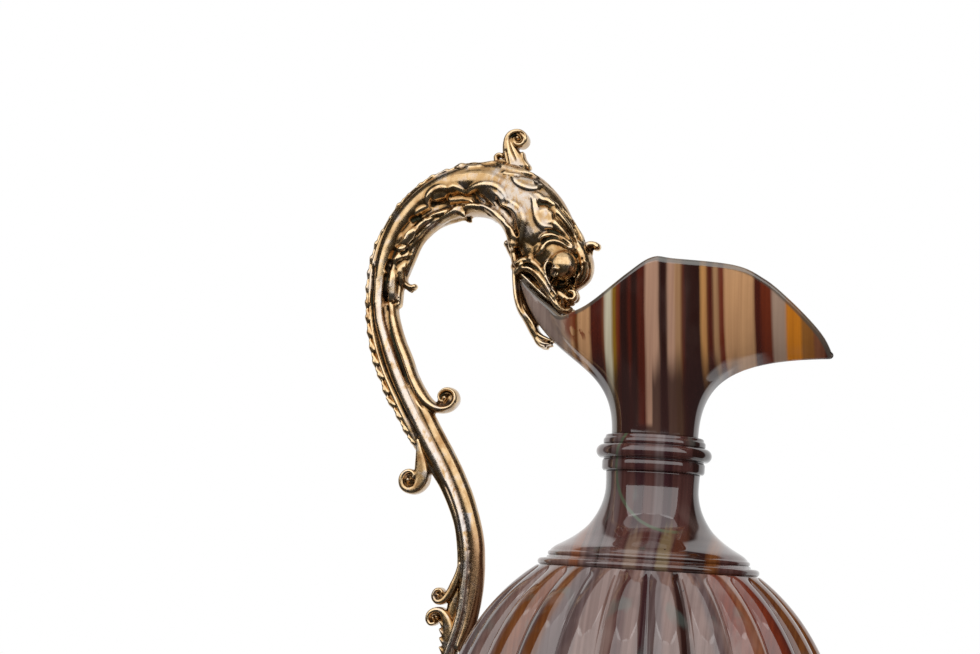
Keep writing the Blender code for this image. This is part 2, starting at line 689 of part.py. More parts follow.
def make_collar(material):
    bore = NECK_TENON_RADIUS + SEAT_GAP
    middle = COLLAR_Z + COLLAR_HEIGHT * COLLAR_MIDDLE_SHARE
    half = COLLAR_BEAD_HEIGHT / 2
    edge = COLLAR_BEAD_HEIGHT / 10
    top = COLLAR_Z + COLLAR_HEIGHT
    profile = [(bore, COLLAR_Z), (COLLAR_FILLET_RADIUS - edge, COLLAR_Z)]
    profile += [(COLLAR_FILLET_RADIUS, COLLAR_Z + edge), (COLLAR_FILLET_RADIUS, middle - half)]
    profile += arc((COLLAR_BEAD_RADIUS - half, middle), half, -60, 60, 4)
    profile += [(COLLAR_FILLET_RADIUS, middle + half), (COLLAR_FILLET_RADIUS, top - edge)]
    profile += [(COLLAR_FILLET_RADIUS - edge, top), (bore, top)]
    return turned("neck_collar", profile, material)


def rim_point(angle):
    """Point of the lip's rim; angle 0 is the spout and a half turn is the bite."""
    folded = abs((angle + math.pi) % (2 * math.pi) - math.pi)
    stations = [Vector(share) for share in RIM_SHARES]
    share = curve_point(stations, folded / math.pi)
    reach = SPOUT_REACH if share.x > 0 else BITE_REACH
    side = 1 if math.sin(angle) >= 0 else -1
    return Vector((share.x * reach, side * max(share.y, 0) * LIP_HALF_WIDTH, LIP_Z + share.z * LIP_RISE))


def lip_point(angle, t):
    """Point of the lip's outside on one meridian, t from the neck to the rim."""
    weights = (max(math.cos(angle), 0) ** 2, math.sin(angle) ** 2, max(-math.cos(angle), 0) ** 2)
    lift, second, reach = (sum(w * row[k] for w, row in zip(weights, MERIDIAN_SHARES)) for k in range(3))
    base = Vector((LIP_BASE_RADIUS * math.cos(angle), LIP_BASE_RADIUS * math.sin(angle), LIP_Z))
    rim = rim_point(angle)
    first = Vector((base.x, base.y, LIP_Z + lift * LIP_RISE))
    out = base + (rim - base) * reach
    out.z = LIP_Z + second * LIP_RISE
    u = 1 - t
    return base * u ** 3 + first * (3 * u * u * t) + out * (3 * u * t * t) + rim * t ** 3


def lip_shell(name, thickness, outside, t_end, material=None):
    """Lip of even wall: the outer surface thickened inwards."""
    bm = bmesh.new()
    rings = []
    for k in range(LIP_RINGS + 1):
        t = t_end * (k / LIP_RINGS) ** 0.9
        angles = [2 * math.pi * i / LIP_SIDES for i in range(LIP_SIDES)]
        rings.append([bm.verts.new(lip_point(angle, t)) for angle in angles])
    for low, high in zip(rings, rings[1:]):
        for i in range(LIP_SIDES):
            j = (i + 1) % LIP_SIDES
            bm.faces.new((low[i], low[j], high[j], high[i]))
    mesh = bpy.data.meshes.new(name)
    bm.to_mesh(mesh)
    bm.free()
    mesh.shade_smooth()
    mesh.set_sharp_from_angle(angle=SHARP_ANGLE)
    if material:
        mesh.materials.append(material)
    obj = bpy.data.objects.new(name, mesh)
    bpy.context.collection.objects.link(obj)
    solidify = obj.modifiers.new("wall", "SOLIDIFY")
    solidify.thickness = thickness
    solidify.offset = 2 * outside / thickness - 1
    solidify.use_even_offset = True
    return obj


def make_bolt(material):
    """Tie bolt with a broad flush head that the whole ewer is drawn up on."""
    tip = NUT_Z + BOWL_NUT_HEIGHT - BOWL_NUT_ROOF - 2 * SEAT_GAP
    profile = [(BOLT_HEAD_RADIUS, 0), (BOLT_HEAD_RADIUS, BOLT_HEAD_HEIGHT), (BOLT_RADIUS, BOLT_HEAD_HEIGHT)]
    profile += [(BOLT_RADIUS, tip - BOLT_RADIUS / 3), (BOLT_RADIUS * 0.7, tip)]
    return turned_solid("tie_bolt", profile, material, SMALL_SIDES)


def make_bowl_nut(material):
    """Closed hexagon nut, so that no drink reaches the bolt."""
    roof = NUT_Z + BOWL_NUT_HEIGHT - BOWL_NUT_ROOF
    dome = BOWL_NUT_RADIUS * math.cos(math.radians(30))
    shoulder = NUT_Z + BOWL_NUT_HEIGHT / 2
    body = turned_solid("bowl_nut", [(BOWL_NUT_RADIUS, NUT_Z), (BOWL_NUT_RADIUS, shoulder)], material, 6)
    profile = [(dome * NUT_DOME_SHARE, shoulder - BOWL_NUT_ROOF / 4)]
    for angle in (0, 30, 60, 80):
        turn = math.radians(angle)
        z = shoulder + (NUT_Z + BOWL_NUT_HEIGHT - shoulder) * math.sin(turn)
        profile.append((dome * NUT_DOME_SHARE * math.cos(turn), z))
    cap = turned_solid("bowl_nut_cap", profile, None, SMALL_SIDES)
    bore = as_cutter(disc("bowl_nut_bore_cutter", BOLT_HOLE_RADIUS, NUT_Z - CUT_OVERRUN, roof))
    return cut(join(body, cap), bore)


def handle_point(height_share, bow_share):
    """Point of the stem between the body's widest point and the bite."""
    x = -BODY_RADIUS + (BODY_RADIUS - BITE_REACH) * height_share
    return upright(x - bow_share * HANDLE_BOW, WIDEST_Z + height_share * (BITE_Z - WIDEST_Z))


def arch_point(bow_share, rise_share):
    """Point above the bite."""
    return upright(-BITE_REACH - bow_share * HANDLE_BOW, BITE_Z + rise_share * HANDLE_ARCH)


def head_point(out_share, up_share):
    """Point of the head, from the bite."""
    return upright(-BITE_REACH + out_share * HEAD_LENGTH, BITE_Z + up_share * HEAD_LENGTH)


CORE_POINTS = [handle_point(*share) for share in STEM_LINE_SHARES]
CORE_POINTS += [arch_point(*share) for share in ARCH_LINE_SHARES]
CORE_LAST = len(CORE_POINTS) - 1
NECK_END_ALONG = (CORE_POINTS[-1] - CORE_POINTS[-2]).normalized()


def core_point(place):
    """Point of the middle line; place counts along its chosen points."""
    return curve_point(CORE_POINTS, place / CORE_LAST)


def core_half(place):
    return curve_point(CORE_HALF_SHARES, place / CORE_LAST) * HANDLE_NECK_HALF


def core_depth(place):
    return curve_point(CORE_DEPTH_SHARES, place / CORE_LAST) * HANDLE_NECK_DEPTH


def core_side(place, distance):
    """Point at a distance from the core's surface, outwards, or inwards if negative."""
    here = core_point(place)
    along = (core_point(place + PLACE_STEP_SHARE) - core_point(place - PLACE_STEP_SHARE)).normalized()
    reach = core_half(place) + abs(distance)
    return here + square_to(along) * (reach if distance > 0 else -reach)


def make_core(name, grow, material=None):
    """The S-shaped handle and the beast's neck, grown on all sides for a clearance."""
    places = [CORE_LAST * i / CORE_STEPS for i in range(CORE_STEPS + 1)]
    path = [core_point(place) for place in places]
    halves = [core_half(place) + grow for place in places]
    depths = [core_depth(place) + grow for place in places]
    flutes = [curve_point(CORE_FLUTE_SHARES, place / CORE_LAST) for place in places]
    return swept(name, path, halves, depths, material, sides=12, ends=1, last=NECK_END_ALONG, flutes=flutes)


HEAD_POINTS = [core_point(CORE_LAST) + NECK_END_ALONG * SEAT_GAP]
HEAD_POINTS += [head_point(*share) for share in HEAD_LINE_SHARES]
HEAD_HALVES = [core_half(CORE_LAST)] + [share * HEAD_LENGTH for share in HEAD_HALF_SHARES]
HEAD_DEPTHS = [core_depth(CORE_LAST)] + [share * HEAD_DEPTH for share in HEAD_DEPTH_SHARES]


def make_head(name, grow, material=None):
    """Loft from the end of the neck to the nose."""
    points = [HEAD_POINTS[0] - NECK_END_ALONG * grow] + HEAD_POINTS[1:]
    places = [i / HEAD_STEPS for i in range(HEAD_STEPS + 1)]
    path = [curve_point(points, place) for place in places]
    wide = [curve_point(HEAD_HALVES, place) + grow for place in places]
    deep = [curve_point(HEAD_DEPTHS, place) + grow for place in places]
    return swept(name, path, wide, deep, material, sides=14, ends=1, first=NECK_END_ALONG)


def flank_point(place, across, side):
    """Point on one flank of the head; side is -1 or 1 along Y."""
    before = curve_point(HEAD_POINTS, place - HEAD_STEP_SHARE)
    after = curve_point(HEAD_POINTS, place + HEAD_STEP_SHARE)
    reach = curve_point(HEAD_HALVES, place) * across
    out = curve_point(HEAD_DEPTHS, place) * math.sqrt(1 - across * across)
    here = curve_point(HEAD_POINTS, place)
    return here + square_to((after - before).normalized()) * reach + Vector((0, side * out, 0))


def head_ridge(name, line_shares, side, half):
    """Ridge laid along one flank of the head."""
    places = [Vector((*share, 0)) for share in line_shares]
    path = []
    for i in range(RIDGE_STEPS + 1):
        place = curve_point(places, i / RIDGE_STEPS)
        path.append(flank_point(place.x, place.y, side))
    count = RIDGE_STEPS + 1
    return swept(name, path, taper(half, half * 0.8, count), taper(half, half, count), sides=6)


def make_crest(material):
    """Serrated strip down the handle's back, curled outwards at its lower end."""
    places = taper(*CREST_PLACE_SHARES, 2 * CREST_TEETH + 1)
    lead = []
    for i, place in enumerate(places):
        tooth = CREST_TOOTH if i % 2 else 0
        lead.append(core_side(place, SEAT_GAP + CREST_HALF + tooth / 2))
    centre = handle_point(*CREST_VOLUTE_SHARES)
    start = centre + Vector((VOLUTE_RADIUS - CREST_HALF, 0, 0))
    for share in CREST_LEAD_SHARES:
        lead.append(lead[-1].lerp(start, share))
    return scroll("crest_strip", lead, centre, VOLUTE_RADIUS, CREST_HALF, CREST_DEPTH, 10, -280, material)


def make_inner_scroll(material):
    """Branch along the inside of the grip that curls towards the body."""
    lead = [core_side(place, -(SEAT_GAP + INNER_HALF)) for place in taper(*INNER_PLACE_SHARES, 13)]
    centre = handle_point(*INNER_VOLUTE_SHARES)
    return scroll("inner_scroll", lead, centre, INNER_VOLUTE_RADIUS, INNER_HALF, INNER_DEPTH,
                  190, 280, material)


def make_tail(name, lead, centre, start, turn, material):
    return scroll(name, lead, centre, TAIL_RADIUS, TAIL_HALF, CREST_DEPTH, start, turn, material,
                  TAIL_ROOT_HALF)


def curled_leaf(name, points, half, depth, material, tip=0.9):
    """Small leaf that tapers to a round curled tip."""
    steps = 6
    path = [curve_point(points, i / steps) for i in range(steps + 1)]
    halves = taper(half, half * CURLED_TIP_SHARE, steps + 1)
    depths = taper(depth, depth * CURLED_TIP_SHARE, steps + 1)
    obj = swept(name, path, halves, depths, material)
    return join(obj, ball(name + "_tip", points[-1], half * tip, depth / half * 0.8))


def side_leaf(name, points, side, half, rise, material):
    """Leaf laid on the flank of the beast's neck; side is -1 or 1 along Y."""
    steps = 8
    path = [curve_point(points, i / steps) for i in range(steps + 1)]
    for point in path:
        point.y = side * rise
    halves = []
    for i, place in enumerate(taper(*LEAF_OUTLINE_SHARES, steps + 1)):
        lobe = 1 - LEAF_LOBE_SHARE * (i % 2)
        halves.append(half * lobe * math.sin(math.pi * place) ** 0.8)
    return swept(name, path, halves, taper(LEAF_HALF, LEAF_HALF, steps + 1), material, sides=8)


def make_lower_jaw(material):
    """Strap jaw that hooks under the back of the lip."""
    points = [head_point(*share) for share in JAW_LINE_SHARES]
    steps = 14
    path = [curve_point(points, i / steps) for i in range(steps + 1)]
    wide, narrow = JAW_WIDTH_SHARES
    return swept("lower_jaw", path, taper(JAW_HALF * wide, JAW_HALF * narrow, steps + 1),
                 taper(JAW_HALF_WIDTH, JAW_HALF_WIDTH * narrow, steps + 1), material, sides=12)


def make_saddle(material):
    """Leaf-shaped foot of the handle that hugs the widest part of the body."""
    steps = 8
    path = []
    for i in range(steps + 1):
        z = WIDEST_Z + SADDLE_LENGTH * (i / steps - SADDLE_BELOW_SHARE)
        path.append(upright(-(body_radius(z) + SEAT_GAP + SADDLE_HALF * 0.6), z))
    outline = taper(*SADDLE_OUTLINE_SHARES, steps + 1)
    deep = [SADDLE_HALF_WIDTH * math.sin(math.pi * place) for place in outline]
    return swept("handle_saddle", path, taper(SADDLE_HALF, SADDLE_HALF, steps + 1), deep, material, sides=12)


for old in list(bpy.data.objects):
    bpy.data.objects.remove(old, do_unlink=True)

# Materials, one for each kind of finish
AGATE = plain_material("agate", (0.30, 0.14, 0.09), 0.12)
AGATE_DARK = plain_material("agate_dark", (0.16, 0.07, 0.06), 0.12)
GILT = metal("gilt", (0.83, 0.62, 0.28), 0.30)
GILT_WORN = metal("gilt_worn", (0.72, 0.58, 0.36), 0.34)
BRASS = metal("brass", (0.60, 0.47, 0.24), 0.38)
STEEL = metal("steel", (0.48, 0.48, 0.49), 0.35)
GASKET = plain_material("gasket", (0.05, 0.045, 0.04), 0.8)

# Holes that several pieces share
BOLT_HOLE = as_cutter(disc("bolt_hole_cutter", BOLT_HOLE_RADIUS, -CUT_OVERRUN, FLOOR_Z + CUT_OVERRUN))
WALL_INSIDE = BODY_RADIUS - LOBE_DEPTH - BODY_WALL
SCREW_AXIS_OUT = BODY_RADIUS + SEAT_GAP + 2 * SADDLE_HALF + SCREW_BITE
SCREW_HOLE = as_cutter(bar("screw_hole_cutter", SCREW_RADIUS + SEAT_GAP,
                           upright(-WALL_INSIDE + CUT_OVERRUN, WIDEST_Z),
                           upright(-SCREW_AXIS_OUT, WIDEST_Z), 16))
SPOT_FACE = as_cutter(bar("spot_face_cutter", SCREW_WASHER_RADIUS + SEAT_GAP,
                          upright(-WALL_INSIDE + CUT_OVERRUN, WIDEST_Z),
                          upright(-WALL_INSIDE, WIDEST_Z)))

# Vessel
BODY_CLEARANCE = make_body_clearance()
body = make_body(AGATE_DARK)
make_foot_rim(GILT)
make_base_plate(BRASS)
make_foot(AGATE)
beaded_ring("foot_collar", FOOT_COLLAR_RADIUS, FOOT_COLLAR_Z, FOOT_COLLAR_HEIGHT, GILT)
make_knop(AGATE)
beaded_ring("knop_collar", KNOP_COLLAR_RADIUS, KNOP_COLLAR_Z, KNOP_COLLAR_HEIGHT, GILT)
make_calyx(GILT)
make_neck(AGATE_DARK)
make_collar(AGATE_DARK)
lip = lip_shell("lip_section", LIP_WALL, 0, 1.0, AGATE)
LIP_CLEARANCE = as_cutter(lip_shell("lip_clearance_cutter", LIP_WALL + 2 * SEAT_GAP, SEAT_GAP,
                                    1 + SEAT_GAP / LIP_RISE * 1.6))

# Tie
make_bolt(STEEL)
holed_disc("bowl_seal", SEAL_RADIUS, BOLT_HOLE_RADIUS, SEAL_Z, SEAL_Z + SEAL_HEIGHT, GASKET)
holed_disc("bowl_washer", BOWL_WASHER_RADIUS, BOLT_HOLE_RADIUS, WASHER_Z,
           WASHER_Z + BOWL_WASHER_HEIGHT, BRASS)
make_bowl_nut(BRASS)

# Handle casting and what lies against it
core = make_core("handle_scroll", 0, GILT)
CORE_CLEARANCE = as_cutter(make_core("core_clearance_cutter", SEAT_GAP))
join(core, ball("handle_bud", CORE_POINTS[0], BUD_RADIUS))
cut(core, BODY_CLEARANCE, SCREW_HOLE)
crest = make_crest(GILT_WORN)
inner = make_inner_scroll(GILT)
cut(crest, CORE_CLEARANCE)
cut(inner, CORE_CLEARANCE)
saddle = make_saddle(GILT)
cut(saddle, BODY_CLEARANCE, CORE_CLEARANCE, SCREW_HOLE)

# Scrolls at the foot of the stem
tail_lead = [core_side(place, SEAT_GAP + TAIL_ROOT_HALF) for place in TAIL_UPPER_PLACE_SHARES]
tail_centre = handle_point(*TAIL_UPPER_VOLUTE_SHARES)
tail_upper = make_tail("tail_scroll_upper", tail_lead, tail_centre, 10, -270, GILT_WORN)
tail_lead = [core_side(place, SEAT_GAP + TAIL_ROOT_HALF) for place in TAIL_LOWER_PLACE_SHARES]
tail_centre = handle_point(*TAIL_LOWER_VOLUTE_SHARES)
tail_lower = make_tail("tail_scroll_lower", tail_lead, tail_centre, -10, 270, GILT_WORN)
cut(tail_upper, CORE_CLEARANCE)
cut(tail_lower, CORE_CLEARANCE)

# Screw that holds the handle's foot from inside the bowl
head_end = -WALL_INSIDE + SEAT_GAP * 2 + SCREW_WASHER_HEIGHT
screw = bar("foot_screw", SCREW_RADIUS, upright(head_end, WIDEST_Z),
            upright(-SCREW_AXIS_OUT + 2 * SEAT_GAP, WIDEST_Z), 16)
screw.data.materials.append(STEEL)
screw_head = bar("foot_screw_head", SCREW_HEAD_RADIUS, upright(head_end, WIDEST_Z),
                 upright(head_end + SCREW_HEAD_HEIGHT, WIDEST_Z), 16)
join(screw, screw_head)
washer = bar("screw_washer", SCREW_WASHER_RADIUS, upright(-WALL_INSIDE + SEAT_GAP, WIDEST_Z),
             upright(-WALL_INSIDE + SEAT_GAP + SCREW_WASHER_HEIGHT, WIDEST_Z), SMALL_SIDES)
washer.data.materials.append(BRASS)
cut(washer, SCREW_HOLE)

# Beast's head with brows, cheeks, jaw rolls, nostrils and eye sockets
head = make_head("beast_head", 0, GILT)
HEAD_CLEARANCE = as_cutter(make_head("head_clearance_cutter", SEAT_GAP))
for side in (-1, 1):
    cheek = flank_point(*CHEEK_SHARES, side)
    cheek.y -= side * CHEEK_RADIUS * CHEEK_SINK_SHARE
    join(head, ball("cheek", cheek, CHEEK_RADIUS))
    join(head, head_ridge("brow", BROW_LINE_SHARES, side, BROW_HALF))
    join(head, head_ridge("jaw_roll", JAW_ROLL_SHARES, side, BROW_HALF))
    join(head, ball("nostril", flank_point(*NOSTRIL_SHARES, side), NOSTRIL_RADIUS))
cut(head, LIP_CLEARANCE)
for side in (-1, 1):
    socket = flank_point(*SOCKET_SHARES, side)
    socket.y -= side * HEAD_DEPTH * SOCKET_SINK_SHARE
    reach = Vector((0, side * CUT_OVERRUN, 0))
    cut(head, as_cutter(bar("socket_cutter", SOCKET_RADIUS, socket, socket + reach, 12)))
jaw = make_lower_jaw(GILT)
cut(jaw, LIP_CLEARANCE, HEAD_CLEARANCE)

# Curls and leaves on the beast
crest_centre = arch_point(*CREST_CURL_SHARES)
crest_side = crest_centre - Vector((VOLUTE_RADIUS - CREST_HALF, 0, 0))
crest_base = core_side(CREST_CURL_PLACE_SHARE, 2 * SEAT_GAP)
crest_lead = [crest_base, crest_base.lerp(crest_side, CREST_CURL_LEAD_SHARE)]
crest_curl = scroll("crest_curl", crest_lead, crest_centre, VOLUTE_RADIUS, CREST_HALF, CREST_DEPTH,
                    190, -280, GILT_WORN, CREST_ROOT_HALF)
cut(crest_curl, CORE_CLEARANCE)
inner_points = [core_side(place, -(SEAT_GAP + CURL_HALF)) for place in INNER_LEAF_PLACE_SHARES]
inner_leaf = curled_leaf("inner_leaf_curl", inner_points + [arch_point(*INNER_LEAF_TIP_SHARES)],
                         CURL_HALF, CURL_DEPTH, GILT_WORN)
cut(inner_leaf, CORE_CLEARANCE)
throat_curl = curled_leaf("throat_curl", [arch_point(*share) for share in THROAT_CURL_SHARES],
                          CURL_HALF, CURL_DEPTH, GILT_WORN)
cut(throat_curl, CORE_CLEARANCE, HEAD_CLEARANCE)
brow_curl = curled_leaf("brow_curl", [head_point(*share) for share in BROW_CURL_SHARES],
                        CURL_HALF, CURL_DEPTH, GILT_WORN)
cut(brow_curl, HEAD_CLEARANCE)
for name, place_shares in (("back", DORSAL_BACK_SHARES), ("front", DORSAL_FRONT_SHARES)):
    points = [core_side(place, SEAT_GAP + LEAF_HALF) for place in taper(*place_shares, 4)]
    leaf = curled_leaf("dorsal_leaf_" + name, points, LEAF_HALF, CURL_DEPTH * 1.3, GILT_WORN)
    cut(leaf, CORE_CLEARANCE)
for name, side in (("left", 1), ("right", -1)):
    fin = side_leaf("mane_fin_" + name, [head_point(*share) for share in MANE_LINE_SHARES], side,
                    MANE_HALF, HEAD_DEPTH + LEAF_HALF * MANE_RISE_SHARE, GILT_WORN)
    brow_room = head_ridge("brow_room_cutter", BROW_LINE_SHARES, side, BROW_HALF + 2 * SEAT_GAP)
    cut(fin, CORE_CLEARANCE, HEAD_CLEARANCE, as_cutter(brow_room))
    leaf = side_leaf("acanthus_" + name, [arch_point(*share) for share in ACANTHUS_LINE_SHARES], side,
                     ACANTHUS_HALF, HANDLE_NECK_DEPTH * ACANTHUS_RISE_SHARE, GILT_WORN)
    cut(leaf, CORE_CLEARANCE)
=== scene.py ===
import json
import math

import bmesh
import bpy
import numpy as np
from mathutils import Matrix, Quaternion, Vector
from mathutils.bvhtree import BVHTree


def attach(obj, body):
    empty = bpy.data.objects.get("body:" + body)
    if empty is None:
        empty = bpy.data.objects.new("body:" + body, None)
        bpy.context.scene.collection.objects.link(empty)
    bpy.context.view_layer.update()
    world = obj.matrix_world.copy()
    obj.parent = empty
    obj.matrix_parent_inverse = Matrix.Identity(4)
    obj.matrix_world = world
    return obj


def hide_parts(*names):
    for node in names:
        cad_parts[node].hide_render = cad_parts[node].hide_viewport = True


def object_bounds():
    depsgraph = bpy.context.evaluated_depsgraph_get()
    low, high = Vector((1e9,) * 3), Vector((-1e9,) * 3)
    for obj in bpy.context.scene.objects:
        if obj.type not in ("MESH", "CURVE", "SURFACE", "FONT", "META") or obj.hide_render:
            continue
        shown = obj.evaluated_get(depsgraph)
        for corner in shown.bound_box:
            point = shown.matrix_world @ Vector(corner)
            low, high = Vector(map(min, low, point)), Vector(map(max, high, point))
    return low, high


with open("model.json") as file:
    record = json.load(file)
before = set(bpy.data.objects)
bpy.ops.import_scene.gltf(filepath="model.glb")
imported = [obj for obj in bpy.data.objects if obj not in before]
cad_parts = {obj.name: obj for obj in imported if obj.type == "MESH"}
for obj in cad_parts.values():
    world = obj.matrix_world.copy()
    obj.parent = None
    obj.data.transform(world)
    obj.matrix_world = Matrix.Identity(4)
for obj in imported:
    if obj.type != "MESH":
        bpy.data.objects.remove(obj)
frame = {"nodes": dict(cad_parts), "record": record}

CAD_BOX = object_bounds()
MM = 0.001
HANDLE_VOXEL = 0.30
SCROLL_VOXEL = 0.22

# The photograph's camera, in millimetres and pixels of its 980 x 654 frame
PHOTO_WIDTH = 980
FOCAL_PIXELS = 2190.0
CAMERA_AT = (74.73, -608.63, 166.0)
CAMERA_AZIMUTH = math.radians(7.0)
CAMERA_YAW = math.radians(4.4776)
CAMERA_PITCH = math.radians(6.3154)
CAMERA_ROLL = math.radians(3.4980)
SENSOR_WIDTH = 36.0


def seen(px, pz, y=0.0):
    """Point at depth y that the photo's camera sees at (px, pz) of the middle plane, in mm."""
    scale = (-CAMERA_AT[1] + y) / -CAMERA_AT[1]
    return (CAMERA_AT[0] + (px - CAMERA_AT[0]) * scale, y, CAMERA_AT[2] + (pz - CAMERA_AT[2]) * scale)


# Meshes are made in millimetres and stored in metres.

def add_object(name, data):
    obj = bpy.data.objects.new(name, data)
    bpy.context.scene.collection.objects.link(obj)
    return obj


def make_object(name, verts, faces):
    mesh = bpy.data.meshes.new(name)
    mesh.from_pydata([Vector(v) * MM for v in verts], [], faces)
    mesh.update()
    bm = bmesh.new()
    bm.from_mesh(mesh)
    bmesh.ops.recalc_face_normals(bm, faces=bm.faces)
    bm.to_mesh(mesh)
    bm.free()
    mesh.shade_smooth()
    return add_object(name, mesh)


def around(count):
    """Angles of a ring's points."""
    return np.linspace(0, 2 * math.pi, count, endpoint=False)


def unit(vectors, least=0.0):
    return vectors / (np.linalg.norm(vectors, axis=-1, keepdims=True) + least)


def lengths(points):
    """How far along a line each of its points is."""
    return np.concatenate([[0], np.cumsum(np.linalg.norm(np.diff(points, axis=0), axis=1))])


def curve(points, t):
    """Smooth curve through points, t an array from 0 to 1."""
    table = np.asarray(points, float)
    last = len(table) - 1
    place = np.clip(np.asarray(t, float), 0, 1) * last
    i = np.minimum(place.astype(int), last - 1)
    f = (place - i)[:, None]
    p1, p2 = table[i], table[i + 1]
    p0 = np.where((i > 0)[:, None], table[np.maximum(i - 1, 0)], 2 * p1 - p2)
    p3 = np.where((i + 2 <= last)[:, None], table[np.minimum(i + 2, last)], 2 * p2 - p1)
    return 0.5 * (2 * p1 + (p2 - p0) * f + (2 * p0 - 5 * p1 + 4 * p2 - p3) * f ** 2
                  + (3 * p1 - p0 - 3 * p2 + p3) * f ** 3)


def spread(points, step):
    """Even shares along a curve, about one step apart."""
    t = np.linspace(0, 1, 400)
    length = lengths(curve(points, t))
    count = max(int(length[-1] / step), 4)
    return np.interp(np.linspace(0, length[-1], count + 1), length, t)


def ring_faces(rows, columns, closed=False):
    """Quads between rings, and between the last and the first where the run is closed."""
    faces = []
    for row in range(rows if closed else rows - 1):
        here, there = row * columns, (row + 1) % rows * columns
        for c in range(columns):
            d = (c + 1) % columns
            faces.append((here + c, here + d, there + d, there + c))
    return faces


def loft(name, rings):
    return make_object(name, rings.reshape(-1, 3), ring_faces(*rings.shape[:2], closed=True))


def read_table(text):
    """Entries of a table: what each is, its places in the photo's view and its named numbers."""
    found = []
    for line in text.splitlines():
        for word in line.partition("#")[0].split():
            if word in ("tube", "ball", "ridge", "line"):
                key, entry = "at", {"at": []}
                found.append((word, entry))
            elif word[0].isalpha():
                key = word
            elif "," in word:
                entry["at"].append(tuple(float(n) for n in word.split(",")))
            elif key in entry:
                entry[key] = [*np.atleast_1d(entry[key]), float(word)]
            else:
                entry[key] = float(word)
    return found


END_TURNS = (80, 55, 30)


def tube_rings(path, half, deep, side, front, sides, square=1.0, ends=END_TURNS):
    """Rings of a tube with rounded ends; square below 1 gives the section flat faces."""
    along = unit(np.gradient(path, axis=0))
    turns = np.radians(ends)
    order = [0] * len(turns) + list(range(len(path))) + [len(path) - 1] * len(turns)
    shrink = np.concatenate([np.cos(turns), np.ones(len(path)), np.cos(turns[::-1])])
    push = np.concatenate([-np.sin(turns), np.zeros(len(path)), np.sin(turns[::-1])])
    centres = path[order] + along[order] * (half[order] * push)[:, None]
    across, out = (np.sign(v) * np.abs(v) ** square for v in (np.cos(around(sides)), np.sin(around(sides))))
    return (centres[:, None] + side[order][:, None] * ((half[order] * shrink)[:, None] * across)[:, :, None]
            + front[order][:, None] * ((deep[order] * shrink)[:, None] * out)[:, :, None])


class Clay:
    """Overlapping closed lumps that one voxel remesh fuses into a casting."""

    def __init__(self, table=""):
        self.verts = []
        self.faces = []
        self.shape(table)

    def shape(self, table):
        """Add a table's tubes and balls."""
        for kind, entry in read_table(table):
            (self.tube if kind == "tube" else self.ball)(**entry)

    def add(self, rings, both=False):
        """Add a run of rings and, if both, its mirror image on the other flank."""
        rows, columns = rings.shape[:2]
        start = sum(len(v) for v in self.verts)
        caps = [tuple(range(columns))[::-1], tuple(range((rows - 1) * columns, rows * columns))]
        self.faces += [tuple(i + start for i in face) for face in ring_faces(rows, columns) + caps]
        self.verts.append(rings.reshape(-1, 3))
        if both:
            self.add(rings * (1, -1, 1))

    def tube(self, at, half, deep=None, y=0.0, sides=14, square=1.0):
        """Tube along places in the photo's view.

        half is its half width there, deep its half depth along Y and y its depth, each a
        number or one for each place; off the middle plane it is made on both flanks.
        """
        count = len(at)
        half, deep, depth = (np.broadcast_to(v, count).astype(float)
                             for v in (half, half if deep is None else deep, y))
        places = np.array([seen(*place, d) for place, d in zip(at, depth)])
        t = spread(places, max(min(half) * 0.6, 0.35))
        path = curve(places, t)
        half, deep = (np.maximum(np.interp(t * (count - 1), np.arange(count), v), 0.05) for v in (half, deep))
        along = unit(np.gradient(path, axis=0))
        side = unit(np.stack([-along[:, 2], 0 * along[:, 0], along[:, 0]], axis=1), 1e-9)
        rings = tube_rings(path, half, deep, side, np.cross(along, side), int(sides), square)
        self.add(rings, np.any(depth != 0))

    def ball(self, at, half, y=0.0, tilt=0.0):
        """Ellipsoid of half sizes across, up and deep; off the middle plane it is on both flanks."""
        lat = np.linspace(-math.pi / 2 + 0.05, math.pi / 2 - 0.05, 17)[:, None]
        lon = around(24)
        a, b, c = (v * size for v, size in zip(
            (np.cos(lat) * np.cos(lon), np.sin(lat), np.cos(lat) * np.sin(lon)), half))
        turn = math.radians(tilt)
        x = a * math.cos(turn) - b * math.sin(turn)
        z = a * math.sin(turn) + b * math.cos(turn)
        self.add(np.stack([x, c, z], axis=2) + seen(*at[0], y), y != 0)

    def cast(self, name, voxel):
        """Fuse the lumps into one closed mesh."""
        obj = make_object(name, np.concatenate(self.verts), self.faces)
        remesh = obj.modifiers.new("fuse", "REMESH")
        remesh.mode = "VOXEL"
        remesh.voxel_size = voxel * MM
        soften = obj.modifiers.new("soften", "SMOOTH")
        soften.factor = 0.5
        soften.iterations = 2
        graph = bpy.context.evaluated_depsgraph_get()
        final = bpy.data.meshes.new_from_object(obj.evaluated_get(graph))
        lumps = obj.data
        obj.modifiers.clear()
        obj.data = final
        bpy.data.meshes.remove(lumps)
        final.name = obj.name
        final.materials.clear()
        final.shade_smooth()
        return obj


class Field:
    """A node's output, for sums, differences and products."""

    def __init__(self, tree, socket):
        self.tree = tree
        self.socket = socket

    def __add__(self, other):
        return self.tree.maths("ADD", self, other)

    def __sub__(self, other):
        return self.tree.maths("SUBTRACT", self, other)

    def __rsub__(self, other):
        return self.tree.maths("SUBTRACT", other, self)

    def __mul__(self, other):
        return self.tree.maths("MULTIPLY", self, other)

    def __abs__(self):
        return self.tree.maths("ABSOLUTE", self)


